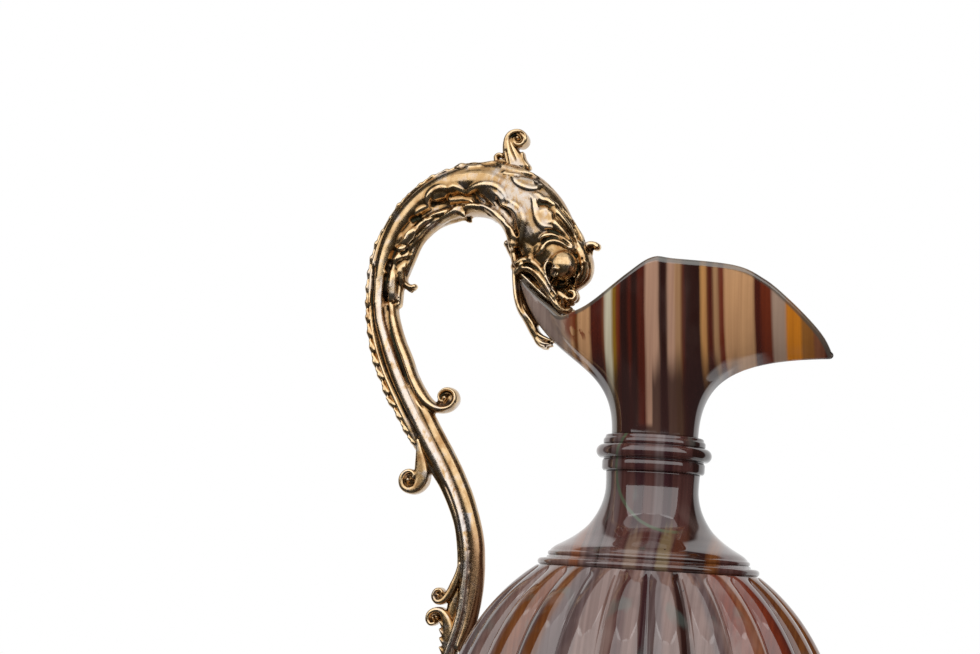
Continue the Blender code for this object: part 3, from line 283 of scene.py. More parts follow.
class Tree:
    """Short way to build the nodes of a material or the world."""

    def __init__(self, owner):
        owner.use_nodes = True
        self.nodes = owner.node_tree.nodes
        self.links = owner.node_tree.links

    def put(self, socket, value):
        if isinstance(value, Field):
            self.links.new(value.socket, socket)
        else:
            socket.default_value = value

    def node(self, kind, inputs=None, outputs=(0,), **settings):
        """New node; its inputs are numbers, colours or fields, and the outputs asked for come back."""
        made = self.nodes.new(kind)
        for key, value in settings.items():
            setattr(made, key, value)
        for key, value in (inputs or {}).items():
            self.put(made.inputs[key], value)
        fields = [Field(self, made.outputs[key]) for key in outputs]
        return fields if len(fields) > 1 else fields[0]

    def maths(self, operation, a, b=0.0):
        return self.node("ShaderNodeMath", {0: a, 1: b}, operation=operation)

    def vector(self, operation, a, b=(0.0, 0.0, 0.0)):
        output = 0 if operation in ("MULTIPLY", "SUBTRACT") else "Value"
        return self.node("ShaderNodeVectorMath", {0: a, 1: b}, (output,), operation=operation)

    def mix(self, factor, a, b, blend="MIX"):
        a, b = ((*colour, 1.0) if isinstance(colour, tuple) else colour for colour in (a, b))
        return self.node("ShaderNodeMix", {0: factor, 6: a, 7: b}, (2,), data_type="RGBA", blend_type=blend)

    def remap(self, value, low, high, to_low=0.0, to_high=1.0, smooth=True):
        return self.node("ShaderNodeMapRange", {0: value, 1: low, 2: high, 3: to_low, 4: to_high},
                         interpolation_type="SMOOTHSTEP" if smooth else "LINEAR")

    def attribute(self, name):
        return self.node("ShaderNodeAttribute", outputs=("Fac",), attribute_name=name)

    def coordinates(self, kind="Object"):
        return self.node("ShaderNodeTexCoord", outputs=(kind,))

    def place(self, scale=(1.0, 1.0, 1.0)):
        """Object coordinates in millimetres, stretched by the scale."""
        return self.vector("MULTIPLY", self.coordinates(), tuple(1000.0 * s for s in scale))

    def noise(self, scale, detail, roughness=0.5, distortion=0.0):
        return self.node("ShaderNodeTexNoise", {"Vector": self.place(scale), "Scale": 1.0, "Detail": detail,
                                                "Roughness": roughness, "Distortion": distortion})

    def ramp(self, value, stops):
        """Colour ramp; stops are (position, colour)."""
        made = self.nodes.new("ShaderNodeValToRGB")
        self.put(made.inputs[0], value)
        while len(made.color_ramp.elements) < len(stops):
            made.color_ramp.elements.new(1.0)
        for element, (position, colour) in zip(made.color_ramp.elements, stops):
            element.position = position
            element.color = (*colour, 1.0)
        return Field(self, made.outputs[0])


def new_material(name):
    material = bpy.data.materials.new(name)
    tree = Tree(material)
    return material, tree, tree.nodes["Principled BSDF"]


def finish(tree, shader, colour, roughness, relief, bump):
    """Put a surface's colour, roughness and fine relief on its shader."""
    tree.put(shader.inputs["Base Color"], colour)
    tree.put(shader.inputs["Roughness"], roughness)
    tree.put(shader.inputs["Normal"], tree.node("ShaderNodeBump", {"Strength": bump, "Distance": MM,
                                                                   "Height": relief}))


def srgb(r, g, b):
    """Linear colour of an sRGB one written as 0 to 255."""
    def linear(value):
        value /= 255
        return value / 12.92 if value <= 0.04045 else ((value + 0.055) / 1.055) ** 2.4
    return (linear(r), linear(g), linear(b))


# Sizes of the stone sections, in millimetres
BODY_Z, WIDEST_Z, BODY_TOP_Z = 51.0, 121.0, 168.3
BODY_RADIUS, BODY_CROWN, BODY_BOTTOM, BODY_MOUTH = 55.2, 57.2, 12.6, 21.0
BODY_WALL, BODY_FLOOR, BOLT_HOLE = 3.0, 6.0, 2.9
LOBES, LOBE_DEPTH, LOBE_ROUNDNESS = 24, 3.8, 0.93
NECK_FOOT_Z, COLLAR_Z = 168.33, 195.53
LIP_Z, LIP_RISE, LIP_BASE, LIP_WALL = 205.6, 47.7, 12.1, 2.2
LIP_HALF_WIDTH, SPOUT_REACH, BITE_REACH = 22.0, 48.4, 40.8
# Rim of the lip from the spout's tip round to the bite: reach, half width and rise as shares
RIM_SHARES = (
    (1.000, 0.000, 0.501), (0.955, 0.159, 0.593), (0.888, 0.295, 0.677),
    (0.758, 0.514, 0.801), (0.618, 0.695, 0.908), (0.448, 0.855, 0.975),
    (0.110, 1.000, 0.994), (-0.029, 0.968, 1.000), (-0.196, 0.877, 0.910),
    (-0.434, 0.659, 0.759), (-0.569, 0.500, 0.702), (-0.694, 0.364, 0.677),
    (-0.814, 0.250, 0.765), (-0.975, 0.205, 0.885), (-1.000, 0.000, 0.889),
)
# How a meridian leaves the neck and reaches the rim, at the spout, the sides and the bite
MERIDIAN_SHARES = ((0.335, 0.474, 0.23), (0.315, 0.470, 0.80), (0.480, 0.360, 0.74))


def turned_ring(radius, z, angles):
    return np.stack([radius * np.cos(angles), radius * np.sin(angles), z + 0 * angles], axis=1)


def turned(name, profile, sides, ripple=None, rippled=0):
    """Turn a closed section of (radius, height); the first rippled rows follow the ripple."""
    angles = around(sides)
    rings = [turned_ring(radius - ripple(angles, z) if row < rippled else radius, z, angles)
             for row, (radius, z) in enumerate(profile)]
    return loft(name, np.array(rings))


def arc(centre, radius, start, end, steps):
    """Points of a profile on an arc, angles in degrees."""
    turns = np.radians(np.linspace(start, end, steps + 1))
    return [(centre[0] + radius * math.cos(a), centre[1] + radius * math.sin(a)) for a in turns]


def rounded(profile, radius=0.25, steps=3):
    """Round the corners of a closed section, less where its edges are short."""
    points = [np.array(p, float) for p in profile]
    result = []
    for i, here in enumerate(points):
        before, after = points[i - 1] - here, points[(i + 1) % len(points)] - here
        room = min(np.linalg.norm(before), np.linalg.norm(after))
        turn = before @ after / (np.linalg.norm(before) * np.linalg.norm(after))
        if turn < -0.96 or room < 1e-6:
            result.append(tuple(here))
            continue
        reach = min(radius, room * 0.45)
        start = here + before / np.linalg.norm(before) * reach
        end = here + after / np.linalg.norm(after) * reach
        for t in np.arange(steps + 1) / steps:
            result.append(tuple(start * (1 - t) ** 2 + here * 2 * t * (1 - t) + end * t ** 2))
    return result


def body_radius(z):
    """Outer radius of the body over its ridges."""
    z = np.asarray(z, float)
    rise = np.clip((z - WIDEST_Z) / BODY_CROWN, 0, 1)
    crown = BODY_RADIUS * np.sqrt(1 - rise ** 2)
    share = np.clip((z - BODY_Z) / (WIDEST_Z - BODY_Z), 0, 1)
    swell = np.sin(share * math.pi / 2) ** 0.85
    return np.where(z >= WIDEST_Z, crown, BODY_BOTTOM + (BODY_RADIUS - BODY_BOTTOM) * swell)


def lobe_valley(angles):
    """0 on a lobe's ridge and 1 in the valley between two convex lobes."""
    place = (angles * LOBES / (2 * math.pi)) % 1
    across = np.where(place < 0.5, 2 * place, 2 * place - 2) * LOBE_ROUNDNESS
    return (1 - np.sqrt(1 - across ** 2)) / (1 - math.sqrt(1 - LOBE_ROUNDNESS ** 2))


def lobes(angles, depth, rise, fall):
    """Lobes that fade in and out; rise and fall are shares of full depth, cut off at 1."""
    return depth * math.sin(max(min(rise, fall, 1), 0) * math.pi / 2) * lobe_valley(angles)


def body_lobes(angles, z):
    share = (z - BODY_Z) / (BODY_TOP_Z - BODY_Z)
    return lobes(angles, LOBE_DEPTH * body_radius(z) / BODY_RADIUS, share / 0.12, (1 - share) / 0.022)


def make_body():
    """Gadrooned body, hollowed through its mouth and bored for the bolt."""
    low = WIDEST_Z - (WIDEST_Z - BODY_Z) * np.cos(np.linspace(0, math.pi / 2, 60))
    high = WIDEST_Z + (BODY_TOP_Z - WIDEST_Z) * np.sin(np.linspace(0, math.pi / 2, 61)[1:])
    outer = [(float(body_radius(z)), float(z)) for z in np.concatenate([low, high])]
    inner = [(max(float(body_radius(z)) - LOBE_DEPTH - BODY_WALL, BODY_MOUTH / 2), float(z))
             for z in np.linspace(BODY_TOP_Z - 6, BODY_Z + BODY_FLOOR, 30)]
    section = outer + [(BODY_MOUTH, BODY_TOP_Z), (BODY_MOUTH, BODY_TOP_Z - 4)] + inner
    section += [(BOLT_HOLE, BODY_Z + BODY_FLOOR), (BOLT_HOLE, BODY_Z)]
    return turned("body_stone", section, LOBES * 16, body_lobes, len(outer))


def make_neck():
    """Flaring neck with its stepped flange, a spigot in the body's mouth and a tenon in the collar."""
    waist = [(27.15, 172.95), (25.9, 174.0), (22.9, 175.7), (20.2, 177.5), (17.4, 180.0), (15.6, 182.5),
             (14.3, 185.0), (13.45, 187.5), (13.0, 190.0), (12.95, 192.5), (13.1, 195.5)]
    low = NECK_FOOT_Z
    section = [(18.1, 163.6), (20.7, 163.6), (20.7, low), (30.0, low)]
    section += arc((29.75, low + 1.05), 1.0, -80, 80, 8)
    section += [(28.35, low + 2.15), (28.2, low + 2.75)]
    section += arc((27.35, low + 3.45), 0.72, -70, 80, 6)
    section += [tuple(p) for p in curve(waist, np.linspace(0, 1, 60))]
    section += [(9.4, 195.5), (9.4, 207.5), (6.8, 207.5), (6.8, 195.5), (8.6, 180.0), (13.0, 172.0)]
    return turned("neck_stone", section, 192)


def make_collar():
    section = [(9.7, COLLAR_Z), (13.9, COLLAR_Z), (14.3, 196.15), (14.35, 198.3),
               (13.95, 198.75), (13.95, 199.0)]
    section += arc((14.15, 200.9), 1.95, -70, 70, 12)
    section += [(13.9, 202.75), (14.0, 203.0), (14.25, 203.15), (14.25, 204.3), (13.8, 204.75),
                (13.6, 205.57), (9.7, 205.57)]
    return turned("collar_stone", rounded(section, 0.3), 192)


def rim_point(angle):
    folded = abs((angle + math.pi) % (2 * math.pi) - math.pi)
    x, y, z = curve(RIM_SHARES, np.array([folded / math.pi]))[0]
    reach = SPOUT_REACH if x > 0 else BITE_REACH
    side = 1 if math.sin(angle) >= 0 else -1
    return np.array((x * reach, side * max(y, 0) * LIP_HALF_WIDTH, LIP_Z + z * LIP_RISE))


def lip_meridian(angle, t):
    """Points of the lip's outside on one meridian, t an array from the neck to the rim."""
    weights = (max(math.cos(angle), 0) ** 2, math.sin(angle) ** 2, max(-math.cos(angle), 0) ** 2)
    lift, second, reach = (sum(w * row[k] for w, row in zip(weights, MERIDIAN_SHARES)) for k in range(3))
    base = np.array((LIP_BASE * math.cos(angle), LIP_BASE * math.sin(angle), LIP_Z))
    rim = rim_point(angle)
    first = base + np.array((0, 0, lift * LIP_RISE))
    out = base + (rim - base) * reach
    out[2] = LIP_Z + second * LIP_RISE
    t = t[:, None]
    u = 1 - t
    return base * u ** 3 + first * (3 * u * u * t) + out * (3 * u * t * t) + rim * t ** 3


def store(piece, name, values):
    """Keep one number for each point, for a material to read."""
    layer = piece.data.attributes.new(name, "FLOAT", "POINT")
    layer.data.foreach_set("value", values.astype(np.float32))


def make_lip():
    """Thin beaked lip of even wall with a rounded rim."""
    sides, rows, edge_steps = 200, 90, 6
    half = LIP_WALL / 2
    outer = np.zeros((rows, sides, 3))
    fine = np.linspace(0, 1, 260)
    for i in range(sides):
        angle = 2 * math.pi * i / sides
        length = lengths(lip_meridian(angle, fine))
        stops = np.linspace(0, length[-1] - half, rows)
        outer[:, i] = lip_meridian(angle, np.interp(stops, length, fine))
    up = np.gradient(outer, axis=0)
    inward = unit(np.cross(up, np.roll(outer, -1, axis=1) - np.roll(outer, 1, axis=1)))
    if inward[0, 0, 0] > 0:
        inward = -inward
    inward[0, :, 2] = 0
    inner = outer + inward * LIP_WALL
    tip = unit(up[-1])
    middle = (outer[-1] + inner[-1]) / 2
    edge = []
    for k in range(1, edge_steps):
        turn = math.pi * k / edge_steps
        edge.append(middle - inward[-1] * half * math.cos(turn) + tip * half * math.sin(turn))
    rings = np.concatenate([outer, np.array(edge), inner[::-1]])
    piece = loft("lip_stone", rings)
    # Rows of the rounded rim, where the stone gets a painted grey highlight
    rim_highlight_rows = np.zeros((len(rings), sides))
    rim_highlight_rows[rows - 1:rows + edge_steps] = 1.0
    store(piece, "rim", rim_highlight_rows.ravel())
    return piece


# Studio: white surround, wide soft lights in front, dark room behind the camera.

FLOOR_BACK, FLOOR_RADIUS, FLOOR_Z = 170.0, 300.0, -0.2
FLOOR_FADE = (0.215, 0.295)
OPEN_FRONT = (0.12, 0.05)
DIM_FILL = 0.32
REAR_TURN, REAR_GLOW = (0.50, 0.60), (0.05, 1.0)
LIGHT_AZIMUTHS = {"light_left": -45.0, "light_front": 0.0, "light_right": 45.0}


def make_camera():
    turn = CAMERA_AZIMUTH + CAMERA_YAW
    level = math.cos(CAMERA_PITCH)
    forward = Vector((-math.sin(turn) * level, math.cos(turn) * level, math.sin(CAMERA_PITCH)))
    right = Vector((math.cos(turn), math.sin(turn), 0.0))
    up = right.cross(forward)
    roll_cos, roll_sin = math.cos(CAMERA_ROLL), math.sin(CAMERA_ROLL)
    right, up = right * roll_cos + up * roll_sin, up * roll_cos - right * roll_sin
    data = bpy.data.cameras.new("camera")
    data.sensor_width = SENSOR_WIDTH
    data.lens = FOCAL_PIXELS * SENSOR_WIDTH / PHOTO_WIDTH
    camera = add_object("camera", data)
    axes = Matrix((right, up, -forward)).transposed()
    camera.matrix_world = Matrix.Translation(Vector(CAMERA_AT) * MM) @ axes.to_4x4()
    bpy.context.scene.camera = camera


def soft_light(name, azimuth, back, height, width, tall, radiance, level=False):
    """Flat soft light that stands upright or hangs level over the object; azimuth 0 is the camera's side."""
    turn = CAMERA_AZIMUTH + math.radians(azimuth)
    away = Vector((math.sin(turn), -math.cos(turn), 0.0))
    data = bpy.data.lights.new(name, "AREA")
    data.shape = "ELLIPSE" if level else "RECTANGLE"
    data.size, data.size_y = width, tall
    data.energy = radiance * math.pi * width * tall * (math.pi / 4 if level else 1.0)
    light = add_object(name, data)
    light.location = away * back + Vector((0.0, 0.0, height))
    light.rotation_mode = "QUATERNION"
    light.rotation_quaternion = Quaternion((0.0, 0.0, 1.0), turn) if level else away.to_track_quat("Z", "Y")
    light.visible_camera = False


def seen_rays(tree):
    """1 for the rays of the camera and those that pass through glass, and for glossy rays."""
    camera, through, glossy = tree.node("ShaderNodeLightPath", outputs=(
        "Is Camera Ray", "Is Transmission Ray", "Is Glossy Ray"))
    return tree.maths("MAXIMUM", camera, through), glossy


def make_world():
    """White for the camera and behind the object in reflections, dim fill elsewhere."""
    world = bpy.data.worlds.new("studio")
    bpy.context.scene.world = world
    tree = Tree(world)
    forward = (-math.sin(CAMERA_AZIMUTH), math.cos(CAMERA_AZIMUTH), 0.0)
    facing = tree.vector("DOT_PRODUCT", tree.coordinates("Generated"), forward)
    direct, glossy = seen_rays(tree)
    fill = tree.node("ShaderNodeMix", {0: glossy, 2: DIM_FILL, 3: tree.remap(facing, *REAR_TURN, *REAR_GLOW)},
                     data_type="FLOAT")
    white = tree.node("ShaderNodeMix", {0: direct, 2: fill, 3: 1.0}, data_type="FLOAT")
    background = tree.nodes["Background"]
    tree.put(background.inputs["Strength"], white)
    background.inputs["Color"].default_value = (1.0, 1.0, 1.0, 1.0)


def make_floor():
    """Pale floor that fades into the white surround but keeps the object's shadow."""
    sides, rings = 96, 40
    points, faces = [(0.0, FLOOR_BACK, FLOOR_Z)], [(0, 1 + s, 1 + (s + 1) % sides) for s in range(sides)]
    for ring in range(rings):
        radius = FLOOR_RADIUS * ((ring + 1) / rings) ** 1.5
        points += [tuple(p) for p in turned_ring(radius, FLOOR_Z, around(sides)) + (0, FLOOR_BACK, 0)]
    faces += [tuple(1 + i for i in face) for face in ring_faces(rings, sides)]
    floor = make_object("floor", points, faces)
    material, tree, shader = new_material("floor_paper")
    paper = {"Roughness": 0.9, "Specular IOR Level": 0.0, "Base Color": (0.9, 0.9, 0.9, 1.0)}
    for socket, value in paper.items():
        shader.inputs[socket].default_value = value
    far = tree.vector("LENGTH", tree.vector("SUBTRACT", tree.coordinates(), (0.0, FLOOR_BACK * MM, 0.0)))
    direct, glossy = seen_rays(tree)
    white = tree.node("ShaderNodeEmission", {"Color": (1.0, 1.0, 1.0, 1.0), "Strength": 1.0})
    faded = tree.remap(far, *FLOOR_FADE) * tree.maths("MAXIMUM", direct, glossy)
    both = tree.node("ShaderNodeMixShader", {0: faded, 1: Field(tree, shader.outputs[0]), 2: white})
    depth = tree.node("ShaderNodeSeparateXYZ", {0: tree.coordinates()}, ("Y",))
    clear = tree.node("ShaderNodeBsdfTransparent")
    whole = tree.node("ShaderNodeMixShader", {0: tree.remap(depth, *OPEN_FRONT) * glossy, 1: both, 2: clear})
    tree.put(tree.nodes["Material Output"].inputs["Surface"], whole)
    floor.data.materials.append(material)


def make_studio():
    make_camera()
    make_world()
    make_floor()
    for name, azimuth in LIGHT_AZIMUTHS.items():
        soft_light(name, azimuth, back=1.25, height=1.18, width=1.03, tall=1.84, radiance=1.6)
    soft_light("light_top", 0.0, back=0.45, height=2.1, width=2.6, tall=1.7, radiance=1.0, level=True)
    bpy.context.scene.view_settings.view_transform = "Standard"


# Stone. Its bands stand upright across the whole stone, so each is a slab between two
# places along X; places are those that the photo's camera sees on the near side.

STONE_IOR, STONE_ROUGHNESS = 1.80, 0.05
# Tones of the stone, as the screen shows them
TONES = {
    "grey": (132, 114, 106), "fog": (166, 140, 122), "cream": (196, 188, 164), "tan": (192, 146, 104),
    "sand": (160, 122, 86), "rose": (172, 134, 112), "mauve": (116, 92, 86), "slate": (94, 78, 78),
    "olive": (138, 104, 26), "straw": (180, 130, 78), "orange": (204, 124, 28), "honey": (146, 94, 40),
    "rust": (104, 40, 18), "oxblood": (76, 26, 14), "umber": (42, 17, 12), "bronze": (104, 60, 26),
    "plum": (54, 27, 31), "dusk": (76, 46, 43), "clay": (122, 74, 50),
}
# The last of these is a painted grey highlight for the lip's rim
CLOUD, SHADOW, SHADE, RIM_HIGHLIGHT = (150, 128, 120), (58, 24, 18), (50, 27, 25), (78, 74, 66)
MOSS, VEIN, RUST_FLECK, SPECK = (86, 104, 98), (78, 94, 72), (112, 44, 20), (38, 18, 16)
# Where each band begins, and its tone
LIP_BANDS = """
-60,grey -30.5,fog -27.6,tan -26.6,bronze -25.2,tan -23.2,tan -21.4,oxblood -17.6,clay -17,cream
  -14.6,olive -13.4,rust -12.2,umber -9.8,oxblood -8.9,umber -7.2,oxblood -4.9,rose -1,umber
  1.4,rose 3.6,sand 5.2,bronze 5.7,oxblood 6.4,umber 9.8,umber 10.7,straw 12.4,oxblood 14.2,sand
  15.6,rust 17.2,tan 21.5,tan 25.2,oxblood 27.2,rust 30.2,fog 34,orange 38,honey 41.5,clay
  44.5,oxblood
"""
BODY_BANDS = """
-90,mauve -46,slate -41,mauve -37.5,mauve -35,bronze -33,clay -31,slate -27.6,bronze -24.4,slate
  -20,slate -16.5,mauve -12,mauve -8.5,dusk -5.4,mauve -1.8,plum 0.6,slate 4.4,mauve 8.2,umber
  11.4,mauve 15.6,slate 18.4,mauve 21.4,rust 24.6,clay 27.6,rust 31.6,oxblood 35,bronze 39,honey
  45,honey 52,mauve
"""
NECK_BANDS = """
-90,slate -33,mauve -20.8,clay -18,mauve -16.4,slate -13.2,umber -12.4,slate -9.5,dusk -7,dusk
  -5.5,plum -2.6,dusk 0.4,slate 2.6,plum 5.2,dusk 8,dusk 10.2,umber 14,umber 16.6,bronze 20,dusk
  26,slate
"""
# Tongues at the foot of the neck's front: start, end, top and tone
NECK_TONGUES = ((-3.9, 0.8, 181.5, (126, 102, 86)), (4.5, 9.2, 182.0, (120, 102, 74)),
                (8.6, 13.2, 183.0, (80, 42, 26)))
RAMP_BANDS = 14


def band_colour(tree, u, bands, z, depth, soft):
    """Colour of the slab that holds u, with soft edges; long lists take several ramps."""
    pairs = [word.split(",") for word in bands.split()]
    bands = [(seen(float(px), z, depth)[0], srgb(*TONES[tone])) for px, tone in pairs]
    low, high = bands[0][0] - 1, bands[-1][0] + 12
    value = tree.remap(u, low, high, smooth=False)
    colour = None
    for start in range(0, len(bands), RAMP_BANDS):
        part = bands[start:start + RAMP_BANDS + 1]
        stops = []
        for i, (place, shade) in enumerate(part):
            if i:
                stops.append(((place - soft - low) / (high - low), part[i - 1][1]))
            stops.append(((place + soft - low) / (high - low), shade))
        made = tree.ramp(value, stops)
        colour = tree.mix(tree.maths("GREATER_THAN", value, stops[0][0]), colour, made) if colour else made
    return colour


def agate(name, bands, z, depth, lean=0.0, fan=None, warp=0.8, soft=0.5, cloud=0.30, tint=0.30,
          flame=None, vein=None, bite=None, gain=1.15, streaks=1.0):
    """Polished banded stone: slabs with wavering edges, fine streaks, clouds and small inclusions.

    lean tilts the slabs; fan, a radius in millimetres, makes them follow the body's lobes;
    flame, a height, darkens the stone below it except in the pale slab in front;
    vein, a centre and a radius, is a green line above the neck's tongues; bite is the
    centre of a rust-flecked patch; streaks is how strong the fine streaks are.
    """
    material, tree, shader = new_material(name)
    remap = tree.remap
    spot = tree.place()
    x, y, height = tree.node("ShaderNodeSeparateXYZ", {0: spot}, ("X", "Y", "Z"))
    u = x
    if fan:
        radius = tree.vector("LENGTH", tree.vector("MULTIPLY", spot, (1.0, 1.0, 0.0)))
        u = tree.maths("DIVIDE", x, tree.maths("MAXIMUM", radius, 4.0)) * fan
    wave = tree.noise((0.04, 0.04, 0.016), 1.0)
    waver = tree.noise((0.35, 0.02, 0.045), 2.0)
    u = u + (height - z) * lean + (wave - 0.5) * (3.5 * warp) + (waver - 0.5) * (1.3 * warp)
    colour = band_colour(tree, u, bands, z, depth, soft)
    streak = tree.noise((0.85, 0.01, 0.012), 3.0, 0.55)
    fine = tuple(1.0 - streaks * (1.0 - share) for share in (0.74, 0.64, 0.60))
    fine = tree.mix(remap(streak, 0.28, 0.72), fine, (gain, gain, gain * 0.98))
    colour = tree.mix(1.0, colour, fine, "MULTIPLY")
    clouds = tree.noise((0.07, 0.07, 0.032), 3.0, 0.55, 0.3)
    colour = tree.mix(remap(clouds, 0.50, 0.72) * tint, colour, srgb(*CLOUD))
    colour = tree.mix(remap(clouds, 0.46, 0.28) * cloud, colour, srgb(*SHADOW))
    if flame:
        tongue = tree.noise((0.22, 0.02, 0.012), 2.0)
        shade = remap(flame - height + (tongue - 0.5) * 34.0, 0.0, 12.0)
        pale = remap(u, -5.8, -5.2) * remap(u, -0.6, -1.2) * remap(height, 207.0, 209.0)
        shade = shade * (1.0 - pale * 0.8) * remap(x, 27.0, 18.0)
        colour = tree.mix(shade * 0.88, colour, srgb(*SHADE))
        # Painted grey highlight along the lip's rounded rim
        colour = tree.mix(tree.attribute("rim") * 0.8, colour, srgb(*RIM_HIGHLIGHT))
    else:
        green = remap(tree.noise((0.16, 0.16, 0.03), 2.0), 0.60, 0.72)
        colour = tree.mix(green * 0.32, colour, srgb(*MOSS))
    if vein:
        (px, pz), size = vein
        flat = tree.node("ShaderNodeCombineXYZ", {0: x + waver, 1: height})
        line = remap(abs(tree.vector("DISTANCE", flat, (px, pz, 0.0)) - size), 0.60, 0.20)
        front = remap(y, 2.0, -2.0)
        colour = tree.mix(line * remap(x, px + 3.0, px - 1.0) * front * 0.7, colour, srgb(*VEIN))
        ragged = height + (streak - 0.5) * 9.0
        for start, end, top, tone in NECK_TONGUES:
            tongue = remap(u, start, start + 1.3) * remap(u, end, end - 1.3) * remap(ragged, top, top - 6.0)
            colour = tree.mix(tongue * front * 0.75, colour, srgb(*tone))
    if bite:
        near = tree.vector("DISTANCE", tree.place((1.0, 0.0, 1.0)), (bite[0], 0.0, bite[1]))
        flecks = remap(tree.noise((0.30, 0.30, 0.20), 3.0, 0.6, 0.4), 0.47, 0.53) * remap(near, 5.5, 3.0)
        colour = tree.mix(flecks * 0.8, colour, srgb(*RUST_FLECK))
    if not flame:
        specks = tree.node("ShaderNodeTexVoronoi", {"Vector": tree.place((0.13, 0.13, 0.08)), "Scale": 1.0,
                                                    "Randomness": 1.0}, ("Distance",))
        colour = tree.mix(remap(specks, 0.045, 0.02), colour, srgb(*SPECK))
    shader.inputs["IOR"].default_value = STONE_IOR
    haze = tree.noise((0.35, 0.35, 0.35), 4.0, 0.7)
    relief = tree.noise((0.10, 0.10, 0.10), 1.0) * 0.10 + tree.noise((0.9, 0.9, 7.0), 2.0) * 0.002
    finish(tree, shader, colour, remap(haze, 0.35, 0.75, STONE_ROUGHNESS * 0.7, STONE_ROUGHNESS * 2.0),
           relief, 0.3)
    return material


# Gilding, as linear colours: bright, plain and in the hollows, rubbed through to silver, and by place, with a
# painted silver highlight for the stem's rib and painted shade for its right flank
GILT_SHINE, GILT_MID = (0.80, 0.59, 0.35), (0.42, 0.26, 0.115)
PATINA, PATINA_GREEN = (0.040, 0.027, 0.017), (0.042, 0.044, 0.026)
SILVER, SILVER_PATCH, SILVER_SKIN, RIB_HIGHLIGHT, RIGHT_FLANK_SHADE = (
    (0.60, 0.56, 0.54), (0.50, 0.53, 0.60), (0.52, 0.50, 0.48), (0.66, 0.60, 0.56), (0.36, 0.19, 0.10))
PATCH_AT, SKIN_AT = (-51.6, 179.4), (-43.0, 0.0, 271.5)
GILT_ROUGHNESS = 0.17


def gilt(name, cavity=False):
    """Old silver-gilt: warm gold, brown-black patina in the hollows, silver where the gilding is rubbed
    through, a painted silver highlight along the stem's rib and painted shade on its right flank.
    """
    material, tree, shader = new_material(name)
    remap = tree.remap
    if cavity:
        hollow = tree.attribute("cavity")
    else:
        pointed = tree.node("ShaderNodeNewGeometry", outputs=("Pointiness",))
        hollow = remap(pointed, 0.42, 0.56, smooth=False)
    blotch = tree.noise((0.20, 0.20, 0.20), 4.0, 0.6)
    stain = tree.noise((0.55, 0.55, 0.30), 4.0, 0.65)
    grain = tree.noise((1.8, 1.8, 1.8), 3.0, 0.6)
    level = hollow + (grain - 0.5) * 0.10 + (stain - 0.5) * 0.30
    red, green, blue = GILT_MID
    colour = tree.mix(remap(level, 0.48, 0.80), GILT_MID, GILT_SHINE)
    colour = tree.mix(remap(blotch, 0.50, 0.70) * 0.7, colour, (red * 0.72, green * 0.55, blue * 0.40))
    colour = tree.mix(remap(blotch, 0.47, 0.33) * 0.55, colour, SILVER)
    x, z = tree.node("ShaderNodeSeparateXYZ", {0: tree.place()}, ("X", "Z"))
    across, along = (abs(place + stain - middle) for place, middle in zip((x, z), PATCH_AT))
    colour = tree.mix(remap(across, 2.1, 1.7) * remap(along, 2.9, 2.4) * 0.55, colour, SILVER_PATCH)
    far = tree.vector("DISTANCE", tree.place((1.0, 0.0, 1.0)), SKIN_AT)
    colour = tree.mix(remap(far, 12.0, 5.0) * remap(stain, 0.38, 0.6) * 0.6, colour, SILVER_SKIN)
    # Painted silver highlight along the stem's rib, broken up by the stain noise
    colour = tree.mix(tree.attribute("rib_highlight_mask") * remap(stain, 0.34, 0.52) * 0.75, colour, RIB_HIGHLIGHT)
    # Painted shade on the right flank of the lower stem
    right_flank_shade = remap(x, -50.6, -49.4) * remap(z, 182.0, 172.0) * remap(x, -44.0, -46.0)
    colour = tree.mix(right_flank_shade * 0.65, colour, RIGHT_FLANK_SHADE)
    colour = tree.mix(remap(level, 0.44, 0.26) * 0.55, colour, (red * 0.42, green * 0.36, blue * 0.34))
    patina = remap(level, 0.24, 0.04)
    colour = tree.mix(patina, colour, tree.mix(remap(blotch, 0.45, 0.6), PATINA, PATINA_GREEN))
    shader.inputs["Metallic"].default_value = 1.0
    finish(tree, shader, colour, remap(grain, 0.3, 0.7, GILT_ROUGHNESS, GILT_ROUGHNESS + 0.12) + patina * 0.35,
           grain * 0.014 + stain * 0.045, 0.5)
    return material


def plain(name, colour, rough, metallic=1.0):
    """Turned metal or rubber that hardly shows."""
    material, tree, shader = new_material(name)
    grain = tree.noise((0.8, 0.8, 5.0), 4.0, 0.6)
    shader.inputs["Metallic"].default_value = metallic
    finish(tree, shader, tree.mix(tree.remap(grain, 0.3, 0.7), tuple(c * 0.75 for c in colour), colour),
           tree.remap(grain, 0.3, 0.7, rough, rough + 0.15), grain * 0.05, 0.2)
    return material


# Gilt castings. Every place below is where the photo's camera sees the feature on the
# middle plane; features on a flank are draped over the castings' surface.

RIDGE_STEP, RIDGE_TURNS = 0.45, (80, 50, 25)
FLANK = 0.35
# Half width of the painted silver highlight along the stem's rib
RIB_HIGHLIGHT_HALF = 1.1
TOOTH = 4.4


